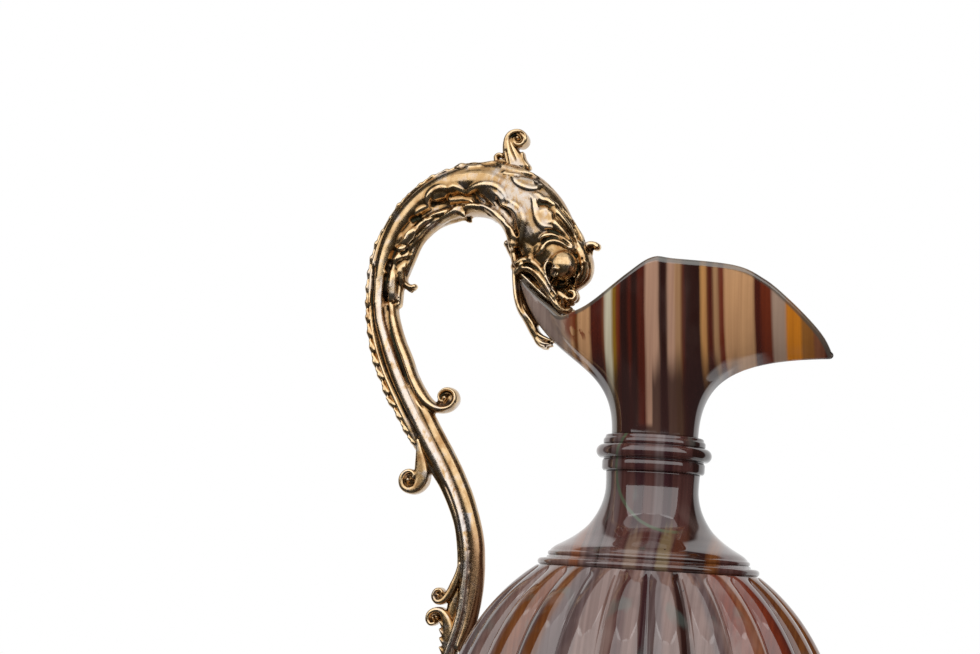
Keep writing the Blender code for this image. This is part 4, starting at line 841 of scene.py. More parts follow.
class Surface:
    """Finds the near flank of a clay form under a place in the photo's view."""

    def __init__(self, clay):
        self.tree = BVHTree.FromPolygons([Vector(v) for v in np.concatenate(clay.verts)], clay.faces)

    def under(self, px, pz):
        eye = Vector(CAMERA_AT)
        aim = (Vector((px, 0.0, pz)) - eye).normalized()
        place, normal = self.tree.ray_cast(eye, aim)[:2]
        if place is None or place.y > 0.5:
            return None
        return np.array(place), np.array(-normal if normal.dot(aim) > 0 else normal)

    def line(self, points):
        """Points along a smooth line on the surface, with their normals."""
        stops = curve(points, spread(points, RIDGE_STEP))
        found = [self.under(*stop) for stop in stops]
        known = [i for i, item in enumerate(found) if item is not None]
        spots = np.arange(len(stops))
        depth = np.interp(spots, known, [found[i][0][1] for i in known])
        normals = np.stack([np.interp(spots, known, [found[i][1][k] for i in known]) for k in range(3)], axis=1)
        places = np.array([seen(px, pz, y) for (px, pz), y in zip(stops, depth)])
        for _ in range(2):
            for values in (places, normals):
                values[1:-1] = values[1:-1] * 0.5 + (values[:-2] + values[2:]) * 0.25
        return places, unit(normals)


def drape(clay, surface, at, half, rise, flat=1.0):
    """Ridge laid on the flank; half is its half width, rise its height above the flank."""
    places, normals = surface.line(at)
    t = np.linspace(0, 1, len(places))
    half = np.maximum(np.interp(t, np.linspace(0, 1, len(half)), half), 0.12)
    across = unit(np.cross(normals, np.gradient(places, axis=0)), 1e-9)
    lift = np.interp(t, [0, 0.15, 0.85, 1], [0.3, 1, 1, 0.4]) * rise
    path = places + normals * (lift - half * flat)[:, None]
    clay.add(tube_rings(path, half, half * flat, across, normals, 12, ends=RIDGE_TURNS), both=True)


def knob(clay, surface, px, pz, radius):
    """Round lump laid on the flank."""
    clay.ball([(px, pz)], [radius] * 3, y=surface.under(px, pz)[0][1] + radius - radius * 0.6)


def plane_places(verts):
    """Where the photo's camera would see each point, with both flanks folded to the near one."""
    depth = -CAMERA_AT[1] - np.abs(verts[:, 1])
    scale = -CAMERA_AT[1] / depth
    return np.stack([CAMERA_AT[0] + (verts[:, 0] - CAMERA_AT[0]) * scale,
                     CAMERA_AT[2] + (verts[:, 2] - CAMERA_AT[2]) * scale], axis=1)


def distance_to(places, points):
    """Distance of many plane places from a smooth line, and how far along it they are."""
    line = curve(points, spread(points, 0.4))
    best = np.full(len(places), 1e9)
    along = np.zeros(len(places))
    near = np.all((places > line.min(0) - 3) & (places < line.max(0) + 3), axis=1)
    spots = places[near]
    least, share = np.full(len(spots), 1e9), np.zeros(len(spots))
    for i, (a, b) in enumerate(zip(line, line[1:])):
        leg = b - a
        f = np.clip((spots - a) @ leg / (leg @ leg), 0, 1)
        d = np.linalg.norm(spots - a - f[:, None] * leg, axis=1)
        closer = d < least
        least[closer] = d[closer]
        share[closer] = (i + f[closer]) / (len(line) - 1)
    best[near], along[near] = least, share
    return best, along


def mesh_arrays(mesh):
    """Points, in millimetres, normals and edges."""
    verts = np.empty(len(mesh.vertices) * 3)
    mesh.vertices.foreach_get("co", verts)
    normals = np.empty(len(mesh.vertices) * 3)
    mesh.vertices.foreach_get("normal", normals)
    edges = np.empty(len(mesh.edges) * 2, int)
    mesh.edges.foreach_get("vertices", edges)
    return verts.reshape(-1, 3) / MM, normals.reshape(-1, 3), edges.reshape(-1, 2)


def put_verts(mesh, verts):
    mesh.vertices.foreach_set("co", (verts * MM).ravel())
    mesh.update()


def smoothed(values, edges, count, rounds):
    """Repeated mean over neighbours, for one or more columns of values."""
    degree = np.bincount(edges.ravel(), minlength=count).astype(float)
    a, b = edges[:, 0], edges[:, 1]
    values = values.copy()
    for _ in range(rounds):
        for k in range(values.shape[1]):
            column = values[:, k]
            total = np.bincount(a, weights=column[b], minlength=count)
            total += np.bincount(b, weights=column[a], minlength=count)
            values[:, k] = 0.5 * column + 0.5 * total / np.maximum(degree, 1)
    return values


def chase(piece, table):
    """Engrave and raise a table's lines on the flanks; a negative height is a groove."""
    verts, normals, _ = mesh_arrays(piece.data)
    places = plane_places(verts)
    facing = np.clip((np.abs(normals[:, 1]) - FLANK * 0.4) / FLANK, 0, 1)
    shift = np.zeros(len(verts))
    for _, line in read_table(table):
        far, along = distance_to(places, line["at"])
        fade = np.clip(np.minimum(along, 1 - along) / line["fade"], 0, 1) if line["fade"] else 1.0
        shift += line["height"] * np.exp(-(far / line["width"]) ** 2) * fade
    put_verts(piece.data, verts + normals * (shift * facing)[:, None])


def weather(piece):
    """Store how hollow or raised each point is: 0 in hollows, 0.5 on flats and 1 on edges."""
    verts, normals, edges = mesh_arrays(piece.data)
    count = len(verts)
    level = np.zeros(count)
    for rounds, scale in ((3, 0.055), (14, 0.16)):
        lifted = ((verts - smoothed(verts, edges, count, rounds)) * normals).sum(axis=1)
        level += 0.5 * np.clip(lifted / scale, -1, 1)
    store(piece, "cavity", 0.5 + 0.5 * smoothed(level[:, None], edges, count, 1)[:, 0])


HANDLE_MASSES = """
# Stem: rib, side, foot and back
tube -81.8,247 -81.6,241 -80.7,235 -79,230 -76.9,224.5 -74.2,218.5 -71.2,212.5 -67.6,206 -64,200
  -60.9,195 -57.9,189.5 -55.3,184 -53.2,178 -51.9,172 -51.4,166 -51.5,160 -51.9,154 -53.2,148
  -55,142 -57,135 -59,128 -59.4,120 half 2.2 2.1 2.1 2.2 2.4 2.6 2.7 2.8 2.8 2.7 2.6 2.4 2.1 1.9 1.8
  1.8 1.9 2 1.9 1.6 1.3 1 deep 3.9 3.9 4 4.1 4.2 4.3 4.3 4.2 4.1 4 3.9 3.8 3.7 3.7 3.6 3.6 3.6 3.6
  3.4 3 2.4 1.7 sides 24
tube -71.6,219.5 -69.2,214.6 -66.2,209.5 -62.8,203.2 -59.4,197.6 -56.2,192 -53.3,186 -51,180
  -49.3,174 -48.6,168 -48.5,162 -49,156 -50,150 -52,144 half 0.8 1.6 2.3 2.6 2.7 2.7 2.7 2.6 2.5
  2.45 2.45 2.4 2.2 1.6 deep 3.35 sides 20
tube -59.4,121.5 -60.2,117.5 half 1.4 1.8 deep 1.9 sides 18
ball -60.9,115.2 half 2.9 2.9 2.9
tube -84,247 -83.8,241 -83.1,235 -81.6,229 -79.5,223 -77,217.5 -73.9,211.5 -70.6,205.5 -67.2,200
  -64.2,195.5 -60.2,189.3 -57.4,184 -55,178 -53.8,172 -53.3,166 -53.9,161 half 1.3 1.3 1.3 1.4 1.5
  1.6 1.7 1.8 1.7 1.2 0.7 0.55 0.5 0.5 0.6 0.8 deep 2.7 sides 14
# Inner branch, its volute and its web
tube -77.6,240.6 -77,236 -75.2,230 -72.7,224.5 -70.5,219.3 -67.9,214.8 -65,211.9 -61.8,210.6
  -58.9,211.1 -57.2,213.2 -57.9,215.6 -60.2,216.2 -61.9,214.7 -61.6,213 -60.3,212.6 half 1.35 1.6
  1.9 2 2 2.1 1.7 1.25 1 0.9 0.8 0.75 0.65 0.55 0.5 deep 3.5 sides 16
tube -60.2,213.4 -59.9,213.4 half 2.6 deep 2.6 sides 16
ball -60.2,213.7 half 1.15 1.15 3.9
# Arch: tube, back, band, inner edge and web
tube -81.7,240 -81.5,246 -80.9,252 -79,258.5 -75.4,265.2 -69.8,271.2 -62.8,275.2 -55,276.4 -48,274.6
  -42,271.2 -37.5,266.5 -34.5,261.5 half 2.1 2.3 2.7 3.2 3.6 3.9 4.4 5.1 7.6 9 9.4 9.3 deep 3.9 3.9
  4.1 4.3 4.6 4.9 5.3 6 7 8 8.5 8.6 sides 36
tube -84,240 -84.1,247 -83.3,253.5 -81.3,260 -77.6,267 -72,273.2 -65,277.4 half 1.3 1.3 1.4 1.5 1.6
  1.8 2.2 deep 2.9 sides 16
tube -77.7,241 -77.5,246 -77.2,250.5 -75.4,256 -72.2,260.9 -67.6,265 -62,267.3 -56,268.5 -50.5,267.8
  -46.3,265.3 -43.3,261.6 -42,257.5 half 1.3 1.4 1.5 1.7 1.8 1.7 1.4 1.3 1.4 1.6 1.6 1.3 deep 3.7
  3.9 4.1 4.4 4.7 4.9 5.1 5.4 6 6.6 6.9 6.6 sides 20
tube -75.8,240 -75.6,246 -75.4,250.5 -73.4,255.8 -70.2,260.4 -66,264.2 -61,266.4 -56,267.4 -51,266.9
  -47,264.6 -44.6,261 -43.4,257 half 0.9 0.9 0.9 1 1 0.8 0.75 0.75 0.75 0.8 0.8 0.8 deep 2.4 2.6 2.8
  3.2 3.8 4.2 4.6 4.9 5.4 5.8 6 6 sides 14
tube -79,244 -78.6,250 -76.9,256.4 -73.4,262 -69,267 -63,270.4 -56,271.6 -49.5,270.3 -45,267.5
  -41.5,262.5 half 1.8 1.9 2.1 2.3 2.5 2.6 2.8 3.2 3.4 3.4 deep 2.4 2.4 2.6 2.8 3 3.1 3.6 4.6 5.6
  6.4 sides 20
# Head
ball -32,256.5 half 8.3 8 8.6 tilt -50
tube -38.5,262 -37,256 -35.5,251.5 half 5 4.2 3 deep 7.4 7.2 6.4 sides 24
ball -29,253.2 half 4.4 4.3 4.5 y -5.7
tube -24.6,258.6 -22.7,255.4 -22.1,252.4 -22.7,249.8 -24.6,247.6 half 2.2 2.3 2.3 2.1 1.6 deep 5.2
  5.8 5.8 5.2 4.2 sides 22
tube -33.5,251 -31.2,247 -29.2,244.4 -27.2,243.2 half 4 3.2 2.6 2 deep 6.2 5.2 4.6 3.9 sides 24
ball -26.6,247.4 half 2.6 2.8 3.4
ball -24.9,260.9 half 1.5 1.8 3
# Roof of the mouth, over the stone that it bites
tube -42.2,252 -40.6,250.2 -38.8,248.7 -36.8,247 -34.6,245.1 -32.4,243.3 -30.6,242.2 half 1.6 1.4
  1.3 1.3 1.3 1.2 1.2 deep 4.4 4 3.8 3.7 3.6 3.4 3 sides 20
# Upper jaw's double lip, from the corner of the mouth to the nose
tube -42.2,250.7 -41.6,251.6 -40.2,252.2 -38.4,251.8 -36.4,250.5 -34.5,248.4 -32.6,245.9 -30.9,243.1
  -29.2,240.9 -27.4,240.1 -26.1,240.4 half 0.9 1.05 1.05 1 1 1 1 1 1 1 0.85 deep 1.4 y -4.4 -4.7
  -5.1 -5.6 -6.1 -6.3 -6 -5.4 -4.5 -3.4 -2.2
tube -42.2,253.2 -40.6,254.2 -38.6,254.2 -36.6,253 -35,251 -33.4,248.7 -31.8,246.4 -30.4,244.6 half
  0.9 1.1 1.1 1 0.95 0.85 0.8 0.7 deep 1.3 y -4.6 -5.2 -5.9 -6.5 -6.8 -6.8 -6.2 -5.6
tube -43,257 -42.4,254.6 -41.8,252.4 half 1.2 1.5 1.5 deep 3.6 4 4.2
# Snout's underside, down to the stone
tube -31.6,242.6 -30.2,241 -28.6,239.8 half 0.8 deep 2.2
# Lid behind the eye
tube -32.9,254.4 -33.8,252.8 -33.6,250.8 -32.6,249.3 half 0.5 0.7 0.7 0.5 deep 0.9 y -7.4 -7.5 -7.3
  -6.8
"""
STEM_RIB, INNER_BRANCH = 0, 5
# Ridges and domes laid on the flanks
LEAVES = """
# Curl on the arch: its dome, its rim and the hollow's lip
ridge -68.2,271.4 -66,272.1 -63.5,272.3 half 1.4 2.1 1.2 rise 1.15 flat 0.55
ridge -63.3,274 -65.3,274.7 -67.4,274.1 -69,272.7 -69.6,270.9 -68.8,269.6 half 0.5 0.65 0.7 0.65
  0.55 0.35 rise 1
ridge -63.9,273.6 -61.3,274.1 -58.6,273.3 half 1.2 1.5 1 rise 0.7 flat 0.4
ridge -64.4,274.3 -61.9,275 -59.7,274 -57.7,273.1 -56.7,274.5 -54,275.7 -50.9,275.8 -48.6,274.8
  -47.3,273 -46.5,271.5 half 0.45 0.6 0.65 0.6 0.65 0.7 0.7 0.65 0.55 0.3 rise 0.95
# Fan below the ridge
ridge -55,274.3 -51.8,273.9 -48.8,272.4 half 1.2 1.9 1.5 rise 0.75 flat 0.4
ridge -55.9,273.7 -53.7,271.7 -50.7,269.2 -47.7,266.5 -45,263.7 half 0.6 0.75 0.75 0.7 0.4 rise 0.85
ridge -53.8,274 -51.3,271.8 -48.6,269.3 -45.7,266.4 -43.4,262.7 half 0.5 0.7 0.75 0.65 0.35 rise
  0.75
ridge -51.4,274.6 -49.4,273.6 -47.8,271.9 -47.5,270 -45.5,269.7 -43.3,268.3 -42.3,265.9 -42.1,262.3
  half 0.45 0.6 0.6 0.55 0.6 0.65 0.6 0.35 rise 1.1
ridge -46.3,271.7 -44.5,270.7 -42.4,269 -41.3,266.1 -41.4,261.7 -41.7,259.2 half 0.4 0.6 0.65 0.65
  0.6 0.3 rise 0.9
# Broad smooth band along the inside of the arch
ridge -74.2,247 -73.3,249.8 -72.1,254 -70.7,257.7 -68.4,261.3 -65.1,264.3 -61.3,266.9 -57.2,268.6
  -53,268.6 -49.1,266.6 -45.9,263.7 -43.7,260 -42.3,256.8 half 1.3 1.8 2.1 2 1.9 1.8 1.8 1.7 1.6 1.5
  1.3 1.2 0.9 rise 0.85 flat 0.45
ridge -63.7,270.9 -60.6,271.2 -57.4,270.5 -53.6,269.1 -50.3,266.9 half 0.6 1.1 1.3 1 0.5 rise 0.6
  flat 0.7
# Leaves that hang down the inside
ridge -68.3,269.2 -70.4,268.4 -72.1,267.2 -72.9,265.8 half 0.6 0.85 0.8 0.35 rise 0.95
ridge -72,264.7 -73.7,263 -75.7,260.9 -77,258.8 -77.4,256.9 -76.2,256.3 -74.6,257.6 half 0.45 0.75
  0.85 0.8 0.65 0.5 0.35 rise 1.05
ridge -72.7,262.9 -74.2,260.2 -75.5,258.1 half 0.8 1.2 0.9 rise 0.75 flat 0.5
ridge -74,254.9 -76.3,254.1 -78.5,252.8 half 0.7 0.8 0.5 rise 0.95
ridge -75.7,252.9 -75.9,249.8 -75.3,246.9 -73.7,244.9 -72.1,244.6 half 0.8 0.95 0.95 0.85 0.7 rise
  1.2
ridge -78.2,249.7 -78.4,246 -78.2,241.9 half 0.8 1.15 0.9 rise 0.8 flat 0.7
# Mane leaf and its rays
ridge -36,269.7 -34.7,267.1 -33,264.6 half 1.6 2.4 1.2 rise 1 flat 0.5
ridge -39.5,273.3 -38.2,271.9 -37.6,269.1 -36.7,266.2 -35,264.3 -32.7,263.9 half 0.4 0.65 0.7 0.7
  0.65 0.4 rise 1
ridge -38.9,273.4 -37.2,273.1 -35.9,271.9 -34.6,272 -33,270.8 -31.2,270.4 half 0.35 0.6 0.55 0.6
  0.55 0.3 rise 1
ridge -32.8,270 -30.1,267.2 -27.3,263.7 -25.2,259.7 half 0.6 0.95 0.85 0.4 rise 0.85 flat 0.8
ridge -33.1,266.5 -30.6,264.1 -28.1,261.5 -26.3,258.5 half 0.6 0.9 0.8 0.4 rise 0.85 flat 0.8
ridge -30.8,270 -27.5,266.5 -24.7,262.5 -23.1,259.2 half 0.4 0.75 0.75 0.35 rise 0.7 flat 0.8
# Leaves along the back, before and behind the crest curl
ridge -62,280.9 -60.4,281.5 -58.6,281.2 -56.8,281.7 -55,281.6 -53,281.9 -51,282.3 -48.8,282.6 half
  0.5 1.1 0.75 1.15 0.75 1.1 0.8 0.5 rise 0.9 flat 0.7
ridge -59.1,280.9 -55.9,281 -53.8,281.4 half 0.4 0.7 0.4 rise 0.7
ridge -50.3,282.4 -47,281.4 -43.5,280.1 -40.6,279.1 half 0.7 1.7 1.6 0.6 rise 1 flat 0.5
ridge -50.7,282.7 -48,282.6 -45,281.5 -41.7,279.7 -37.4,278.3 half 0.4 0.6 0.65 0.6 0.3 rise 1.15
ridge -48.2,279.6 -45.3,279.3 -42.7,279 half 0.4 0.6 0.3 rise 0.75
ridge -43.7,277.7 -40.5,276.9 -37.9,276.6 half 0.9 1.6 0.8 rise 0.95 flat 0.5
ridge -45.2,278.6 -43.6,276.9 -41.1,275.6 -38.3,275.1 -36.6,276.1 half 0.4 0.65 0.7 0.6 0.3 rise 1
"""
# Brow folds
HEAD_RIDGES = """
ridge -36.8,256.1 -35.2,256.9 -34.7,258.6 -33.7,259.8 -31.5,260.2 -29,259.4 -26.9,258 -25.7,256.3
  half 0.4 0.75 0.8 0.85 0.9 0.85 0.7 0.4 rise 0.9
ridge -36,260.4 -35,261.3 -32.8,261.6 -30.1,260.9 -27.3,259.1 -25.2,256.9 half 0.5 0.9 1 0.95 0.8
  0.4 rise 0.95
ridge -24.6,255.8 -24.2,252.8 -24.4,250 -25.6,247.6 half 0.35 0.6 0.6 0.35 rise 0.5
"""
# Curls and nostrils: place and radius
KNOBS = ((-28.6, 242.6, 1.0), (-27.0, 241.4, 0.95), (-25.6, 242.5, 0.85), (-40.8, 252.9, 1.0),
         (-38.4, 254.8, 0.9), (-22.9, 254.3, 0.8))
# Curls of the brow, nose and throat that stand off the head, and the leaf inside the arch
HEAD_CURLS = """
tube -23,254 -23.3,256.4 -22.8,258.3 -21.3,259.3 -19.7,259.2 half 1.1 1.15 1.05 1 0.95 deep 2.8 2.7
  2.5 2.3 2.2 sides 18 square 0.75
ball -19.2,258.7 half 1.15 1.15 2.3
ball -21.6,257 half 1.3 1.5 1.6
tube -26.4,246 -25.2,245.6 -24.7,244.4 -25.2,243.4 -26.1,243.7 half 0.8 0.85 0.8 0.7 0.5 deep 1.8 y
  -1.8
ball -25.9,244.6 half 0.9 0.9 2.2
tube -44.8,257.8 -43.8,256.2 -42.6,254.2 half 0.9 1 1 deep 2.5 2.6 3.2
ball -45.2,258.8 half 1.15 1.15 2.3
# Leaf that hooks out inside the arch and ends in a ball
tube -75.6,254 -75.7,250.6 -75.2,247.8 -73.9,245.8 -72.3,245.2 half 1 1.1 1.05 0.9 0.8 deep 3 2.8
  2.5 2.1 1.8 sides 18
ball -71.6,245.5 half 0.9 0.9 1.8
"""
# Chased lines
HANDLE_LINES = """
# Hollows under the leaves
line -68.5,269.3 -65.7,269.7 -62.8,270.3 width 1.1 height -0.55 fade 0.15
line -70.1,265.8 -68,266 -65.5,266.3 width 0.6 height -0.45 fade 0.2
line -74.3,264.2 -72.7,265.6 -70.7,266.1 width 0.9 height -0.5 fade 0.2
line -76.6,254.8 -75.4,255.7 -74.2,256.5 width 0.6 height -0.45 fade 0.2
line -80.2,249.6 -79.9,251.9 -78.6,252.7 width 0.6 height -0.5 fade 0.2
line -80.4,249.1 -80.4,245.4 -80.3,241.8 width 0.45 height -0.45 fade 0.1
line -50,271.9 -48.5,269.8 -46.2,268.3 -44.1,265.8 width 0.55 height -0.4 fade 0.2
line -58.5,272.4 -56.1,271.7 -53,268.7 -49.7,265.6 width 0.6 height -0.25 fade 0.2
line -35.9,258.8 -34.3,260.5 -31.8,261.2 -29,260.4 -26.7,258.5 width 0.5 height -0.55 fade 0.1
line -48.5,279.9 -45.4,279.9 -42.2,279.4 -39,278.5 width 0.35 height -0.3 fade 0.2
line -62.1,278.9 -56.9,280.4 -52.2,280.2 -48.4,278.7 -44.6,276.7 width 0.7 height -0.17 fade 0.2
line -37.6,272.2 -36.5,270.7 -34.4,270.7 -32.8,269.2 width 0.4 height -0.3 fade 0.2
line -35,263.5 -32.4,263 -29.7,261.6 -27,259.1 width 0.5 height -0.35 fade 0.15
# Grooves over the crown
line -36.9,277.9 -32,274.4 -27.8,269.9 -24.7,264.8 -22.7,260.8 width 0.28 height -0.42 fade 0.15
line -35.3,277.2 -30.6,273.8 -26.6,269.2 -23.7,264.3 -22.2,260.8 width 0.25 height -0.38 fade 0.15
line -31.9,271.6 -28.5,268.3 -25.4,263.8 -23.7,259.7 width 0.3 height -0.5 fade 0.15
line -31.9,268.2 -28.8,265 -26.1,261.2 -24.7,258.1 width 0.3 height -0.55 fade 0.15
# Eye: the crescent behind it, its ring and its pupil; nose and lips
line -32.6,254 -33,252.2 -32.5,250.3 -31.4,249.1 width 0.55 height -1.1 fade 0.1
line -30.2,252.2 -31.1,252.5 -31.8,251.8 -31.8,250.8 -31,250.2 -30.2,250.6 width 0.3 height 0.7 fade
  0
line -31,251.3 -30.8,251.2 width 0.3 height -0.5 fade 0
line -24.7,254 -24.9,251.5 -26.5,249.4 -29,248.4 width 0.5 height -1 fade 0.15
line -31.8,248 -29.6,247.6 -27.2,248 -25.4,249.4 width 1.1 height -1.5 fade 0.1
line -23.6,255.6 -22.7,253.1 -22.8,250.5 -24.3,247.9 width 0.4 height -0.8 fade 0.15
line -21.5,254.6 -21,252.1 -21.4,249.8 -23,247.7 width 0.3 height -0.5 fade 0.15
line -41.2,252.4 -39,253.1 -36.7,252 -34.4,249.4 -32.5,246.8 -30.8,244.1 width 0.35 height -0.8 fade
  0.1
line -41,251.1 -39,251.4 -36.8,250.1 -34.6,247.5 -32.4,244.8 -29.9,242.1 width 0.3 height -0.4 fade
  0.1
line -28,243.7 -27.5,242.1 -27.6,240.8 width 0.28 height -0.6 fade 0.1
line -26.2,243.2 -25.9,241.9 width 0.25 height -0.5 fade 0.1
# Creases along the stem
line -79.6,252 -79.8,246 -79.7,241 width 0.35 height -0.4 fade 0.1
line -84.5,252 -84.3,246 -84.2,240 -83,233 -80.9,226.5 -78.4,220.4 -75,214 -71.5,208 -67.4,201.6
  width 0.4 height -0.5 fade 0.03
line -79.3,240 -78.7,235.5 -76.9,229.8 -74.6,224.2 -72.3,219 -69.6,214 -66.6,210.6 width 0.35 height
  -0.7 fade 0.05
line -60,190.8 -56.8,184.6 -54.6,178.2 -53.2,171.8 -52.8,166 -53,161 width 0.3 height -0.45 fade
  0.08
line -78.4,240.9 -77.6,240.7 -76.6,240.9 width 0.3 height -0.6 fade 0
"""


def make_handle():
    """Handle and beast: masses, leaves laid on them, and chasing."""
    clay = Clay(HANDLE_MASSES)
    masses = [entry["at"] for _, entry in read_table(HANDLE_MASSES)]
    # Web beside the upper end of the inner branch
    clay.tube([(x - 1.2, z - 0.6) for x, z in masses[INNER_BRANCH][:6]], 1.1, 2.6)
    surface = Surface(clay)
    for _, leaf in read_table(LEAVES):
        flat = leaf.get("flat", 1)
        broad = 1.55 if flat == 1 else 1.2
        drape(clay, surface, leaf["at"], [broad * r for r in leaf["half"]], 0.80 * leaf["rise"], min(flat, 0.7))
    for _, ridge in read_table(HEAD_RIDGES):
        drape(clay, surface, **ridge)
    for px, pz, radius in KNOBS:
        knob(clay, surface, px, pz, radius)
    clay.shape(HEAD_CURLS)
    piece = clay.cast("handle_casting", HANDLE_VOXEL)
    chase(piece, HANDLE_LINES)
    weather(piece)
    # The stem's rib gets a painted silver highlight
    far, _ = distance_to(plane_places(mesh_arrays(piece.data)[0]), masses[STEM_RIB])
    store(piece, "rib_highlight_mask", np.clip(1.5 - far / RIB_HIGHLIGHT_HALF, 0, 1))
    return piece


CREST_LINE = read_table("""
line -67.9,193.6 -67.5,196.9 -68.5,199.1 -70.7,201.6 -73.3,205.7 -75.5,209.3 -78.1,213 -79.9,217.4
  -82.1,221.8 -83.9,227.7 -85,232.8 -85.6,236.5 -85.9,240 -86.1,245.2 -85.8,250.3 -85.2,253.9
  -83.7,259.3 -81.6,262.9 -78.4,269.1 -74.8,272.9 -71.2,276.4 -67.4,278.8 -64.3,280.1 -61,281.3
""")[0][1]["at"]
CREST_FOOT = """
tube -67.2,201.5 -66.6,198.5 -66,195.2 -65.7,192.2 -65.9,189.6 -67.2,187.6 -69.2,187.1 -70.9,188.1
  -71.4,190.1 -70.6,191.9 -69,192.5 -67.8,191.6 -68,190.4
  half 0.7 1.2 1.9 2.3 2.1 1.45 1.05 0.95 0.9 0.8 0.7 0.6 0.4 deep 3.2 sides 18 square 0.55
tube -69.4,189.9 -69,189.9 half 2.4 deep 2.5 sides 18
ball -69.4,190 half 1.05 1.05 3.4
tube -66,192.6 -63.6,192.9 -61.8,193.8 half 1.2 1.3 1.2 deep 1.9
tube -66.6,199.4 -64.9,195.8 -63.3,193.4 half 0.9 1.3 1 deep 2.1
"""
CREST_CURL = """
tube -43.6,280.8 -44.2,282.4 -45.2,284.3 -46.1,286.2 -46.6,288.2 -46.3,289.9 -44.9,291 -43.1,291.05
  -41.8,290 -41.5,288.6 -42.5,287.4 -44,287.5 -44.9,288.6
  half 3.2 3 2.6 2.1 1.4 1 0.85 0.85 0.85 0.85 0.75 0.6 0.45
  deep 3.4 3.3 3.2 3.2 3.3 3.4 3.4 3.4 3.4 3.3 3.1 2.9 2.6 sides 20 square 0.6
tube -44.1,289.2 -43.6,289.2 half 2.3 deep 2.8 sides 20
ball -43.7,289.2 half 1.05 1.05 3.6
tube -49.4,282.2 -50,283.8 -49,284.6 -47.8,284 half 0.9 0.85 0.75 0.7 deep 2
tube -42.2,285 -41.7,283 -40.2,281 half 0.6 0.8 0.8 deep 2.6
"""
CREST_CURL_LINES = """
line -43.95,282.5 -44.95,284.4 -45.85,286.3 -46.35,288.3 -46.05,290 -44.65,291.1 -42.85,291.15
  -41.55,290.1 width 0.3 height -0.45 fade 0.1
line -46.2,281.6 -46.9,284.2 -47.5,286.6 width 0.3 height -0.3 fade 0.2
"""


def make_crest_strip():
    """Serrated strip down the handle's back, ending in a volute below."""
    outer = curve(CREST_LINE, spread(CREST_LINE, 0.45))
    along = unit(np.gradient(outer, axis=0))
    inward = np.stack([along[:, 1], -along[:, 0]], axis=1)
    run = lengths(outer)
    tooth = (run / TOOTH) % 1.0
    tooth = np.where(tooth < 0.68, tooth / 0.68, (1 - tooth) / 0.32)
    half = 0.52 + 0.40 * tooth
    clay = Clay()
    clay.tube(outer + inward * (1.72 - half)[:, None], half, 2.3 + 0.5 * tooth)
    clay.tube(outer + inward * 1.9, 0.6, 1.7)
    for start in np.arange(TOOTH / 2, run[-1], TOOTH):
        i = int(np.searchsorted(run, start))
        leaflet = [outer[i] + along[i] * on + inward[i] * across
                   for on, across in ((-0.2, 1.2), (1.6, 0.75), (2.7, 0.5))]
        clay.tube(leaflet, (0.75, 0.6, 0.35), 0.7, y=-1.9)
    clay.shape(CREST_FOOT)
    return clay.cast("crest_casting", SCROLL_VOXEL)


def make_crest_curl():
    """Curl that stands on the beast's crown, on a root that spreads into the leaves."""
    piece = Clay(CREST_CURL).cast("crest_curl_casting", SCROLL_VOXEL)
    chase(piece, CREST_CURL_LINES)
    return piece


TAIL_UPPER = """
tube -52.9,167.5 -53.4,164.4 -54.3,161.4 -55.6,158.6 -57.3,156.6 -59.1,156.3 -60,157.7 -59.4,159.3
  -58.1,159.6 -57.4,158.8 half 0.6 0.9 1.25 1.25 1 0.8 0.75 0.7 0.6 0.45 deep 2.9 sides 16 square
  0.6
tube -58.9,158.1 -58.6,158.1 half 1.6 deep 2.2
ball -58.6,158.1 half 0.8 0.8 3.1
tube -52.8,160 -54,156.6 -54.6,153.6 -54.6,151.2 half 1.4 1.9 1.9 1.2 deep 1.6
"""
TAIL_LOWER = """
tube -59.2,121.8 -60.9,121.2 -62.2,122.4 -61.8,124.6 -59.8,127.4 -57.6,132 -55.9,137 -54.7,142
  -54.9,147 -55.5,150.6 -57,153.3 -59,153.9 -60.8,152.9 -61.2,151.1 -60.3,149.9 -59.1,150.2 half 0.6
  0.75 0.85 1 1.3 1.7 2 2.2 2.1 1.7 1.1 0.85 0.8 0.75 0.65 0.5 deep 3.1 sides 18 square 0.6
tube -59.8,151.8 -59.5,151.8 half 1.8 deep 2.3
ball -59.6,151.6 half 0.85 0.85 3.2
"""
TAIL_LEAFLETS = ((-57.0, 149.6), (-56.9, 147.4), (-56.7, 145.0), (-56.6, 142.4), (-57.0, 139.4))


def make_tails():
    """The two scrolls at the foot of the stem."""
    upper = Clay(TAIL_UPPER).cast("tail_upper_casting", SCROLL_VOXEL)
    clay = Clay(TAIL_LOWER)
    for px, pz in TAIL_LEAFLETS:
        clay.tube(((px + 1.0, pz - 0.9), (px, pz), (px - 0.9, pz + 1.1)), (0.8, 0.75, 0.4), 1.3, y=-1.6)
    return upper, clay.cast("tail_lower_casting", SCROLL_VOXEL)


JAW_STRAP = """
tube -42.1,251.4 -41.9,248.6 -41.5,245.4 -40.9,242.4 -39.7,239.5 -37.6,236.7 -35.9,234 -34.7,231.8
  half 0.95 0.95 0.95 0.95 1.05 1.25 1.4 1.15 deep 4.7 4.9 5 5 4.9 4.6 4.2 3.4 sides 22 square 0.8
tube -41.2,247.6 -40.3,244.4 -39.1,241.2 -37.6,238.6 -35.4,236 half 0.7 0.9 0.95 0.95 0.8 deep 2.6
"""
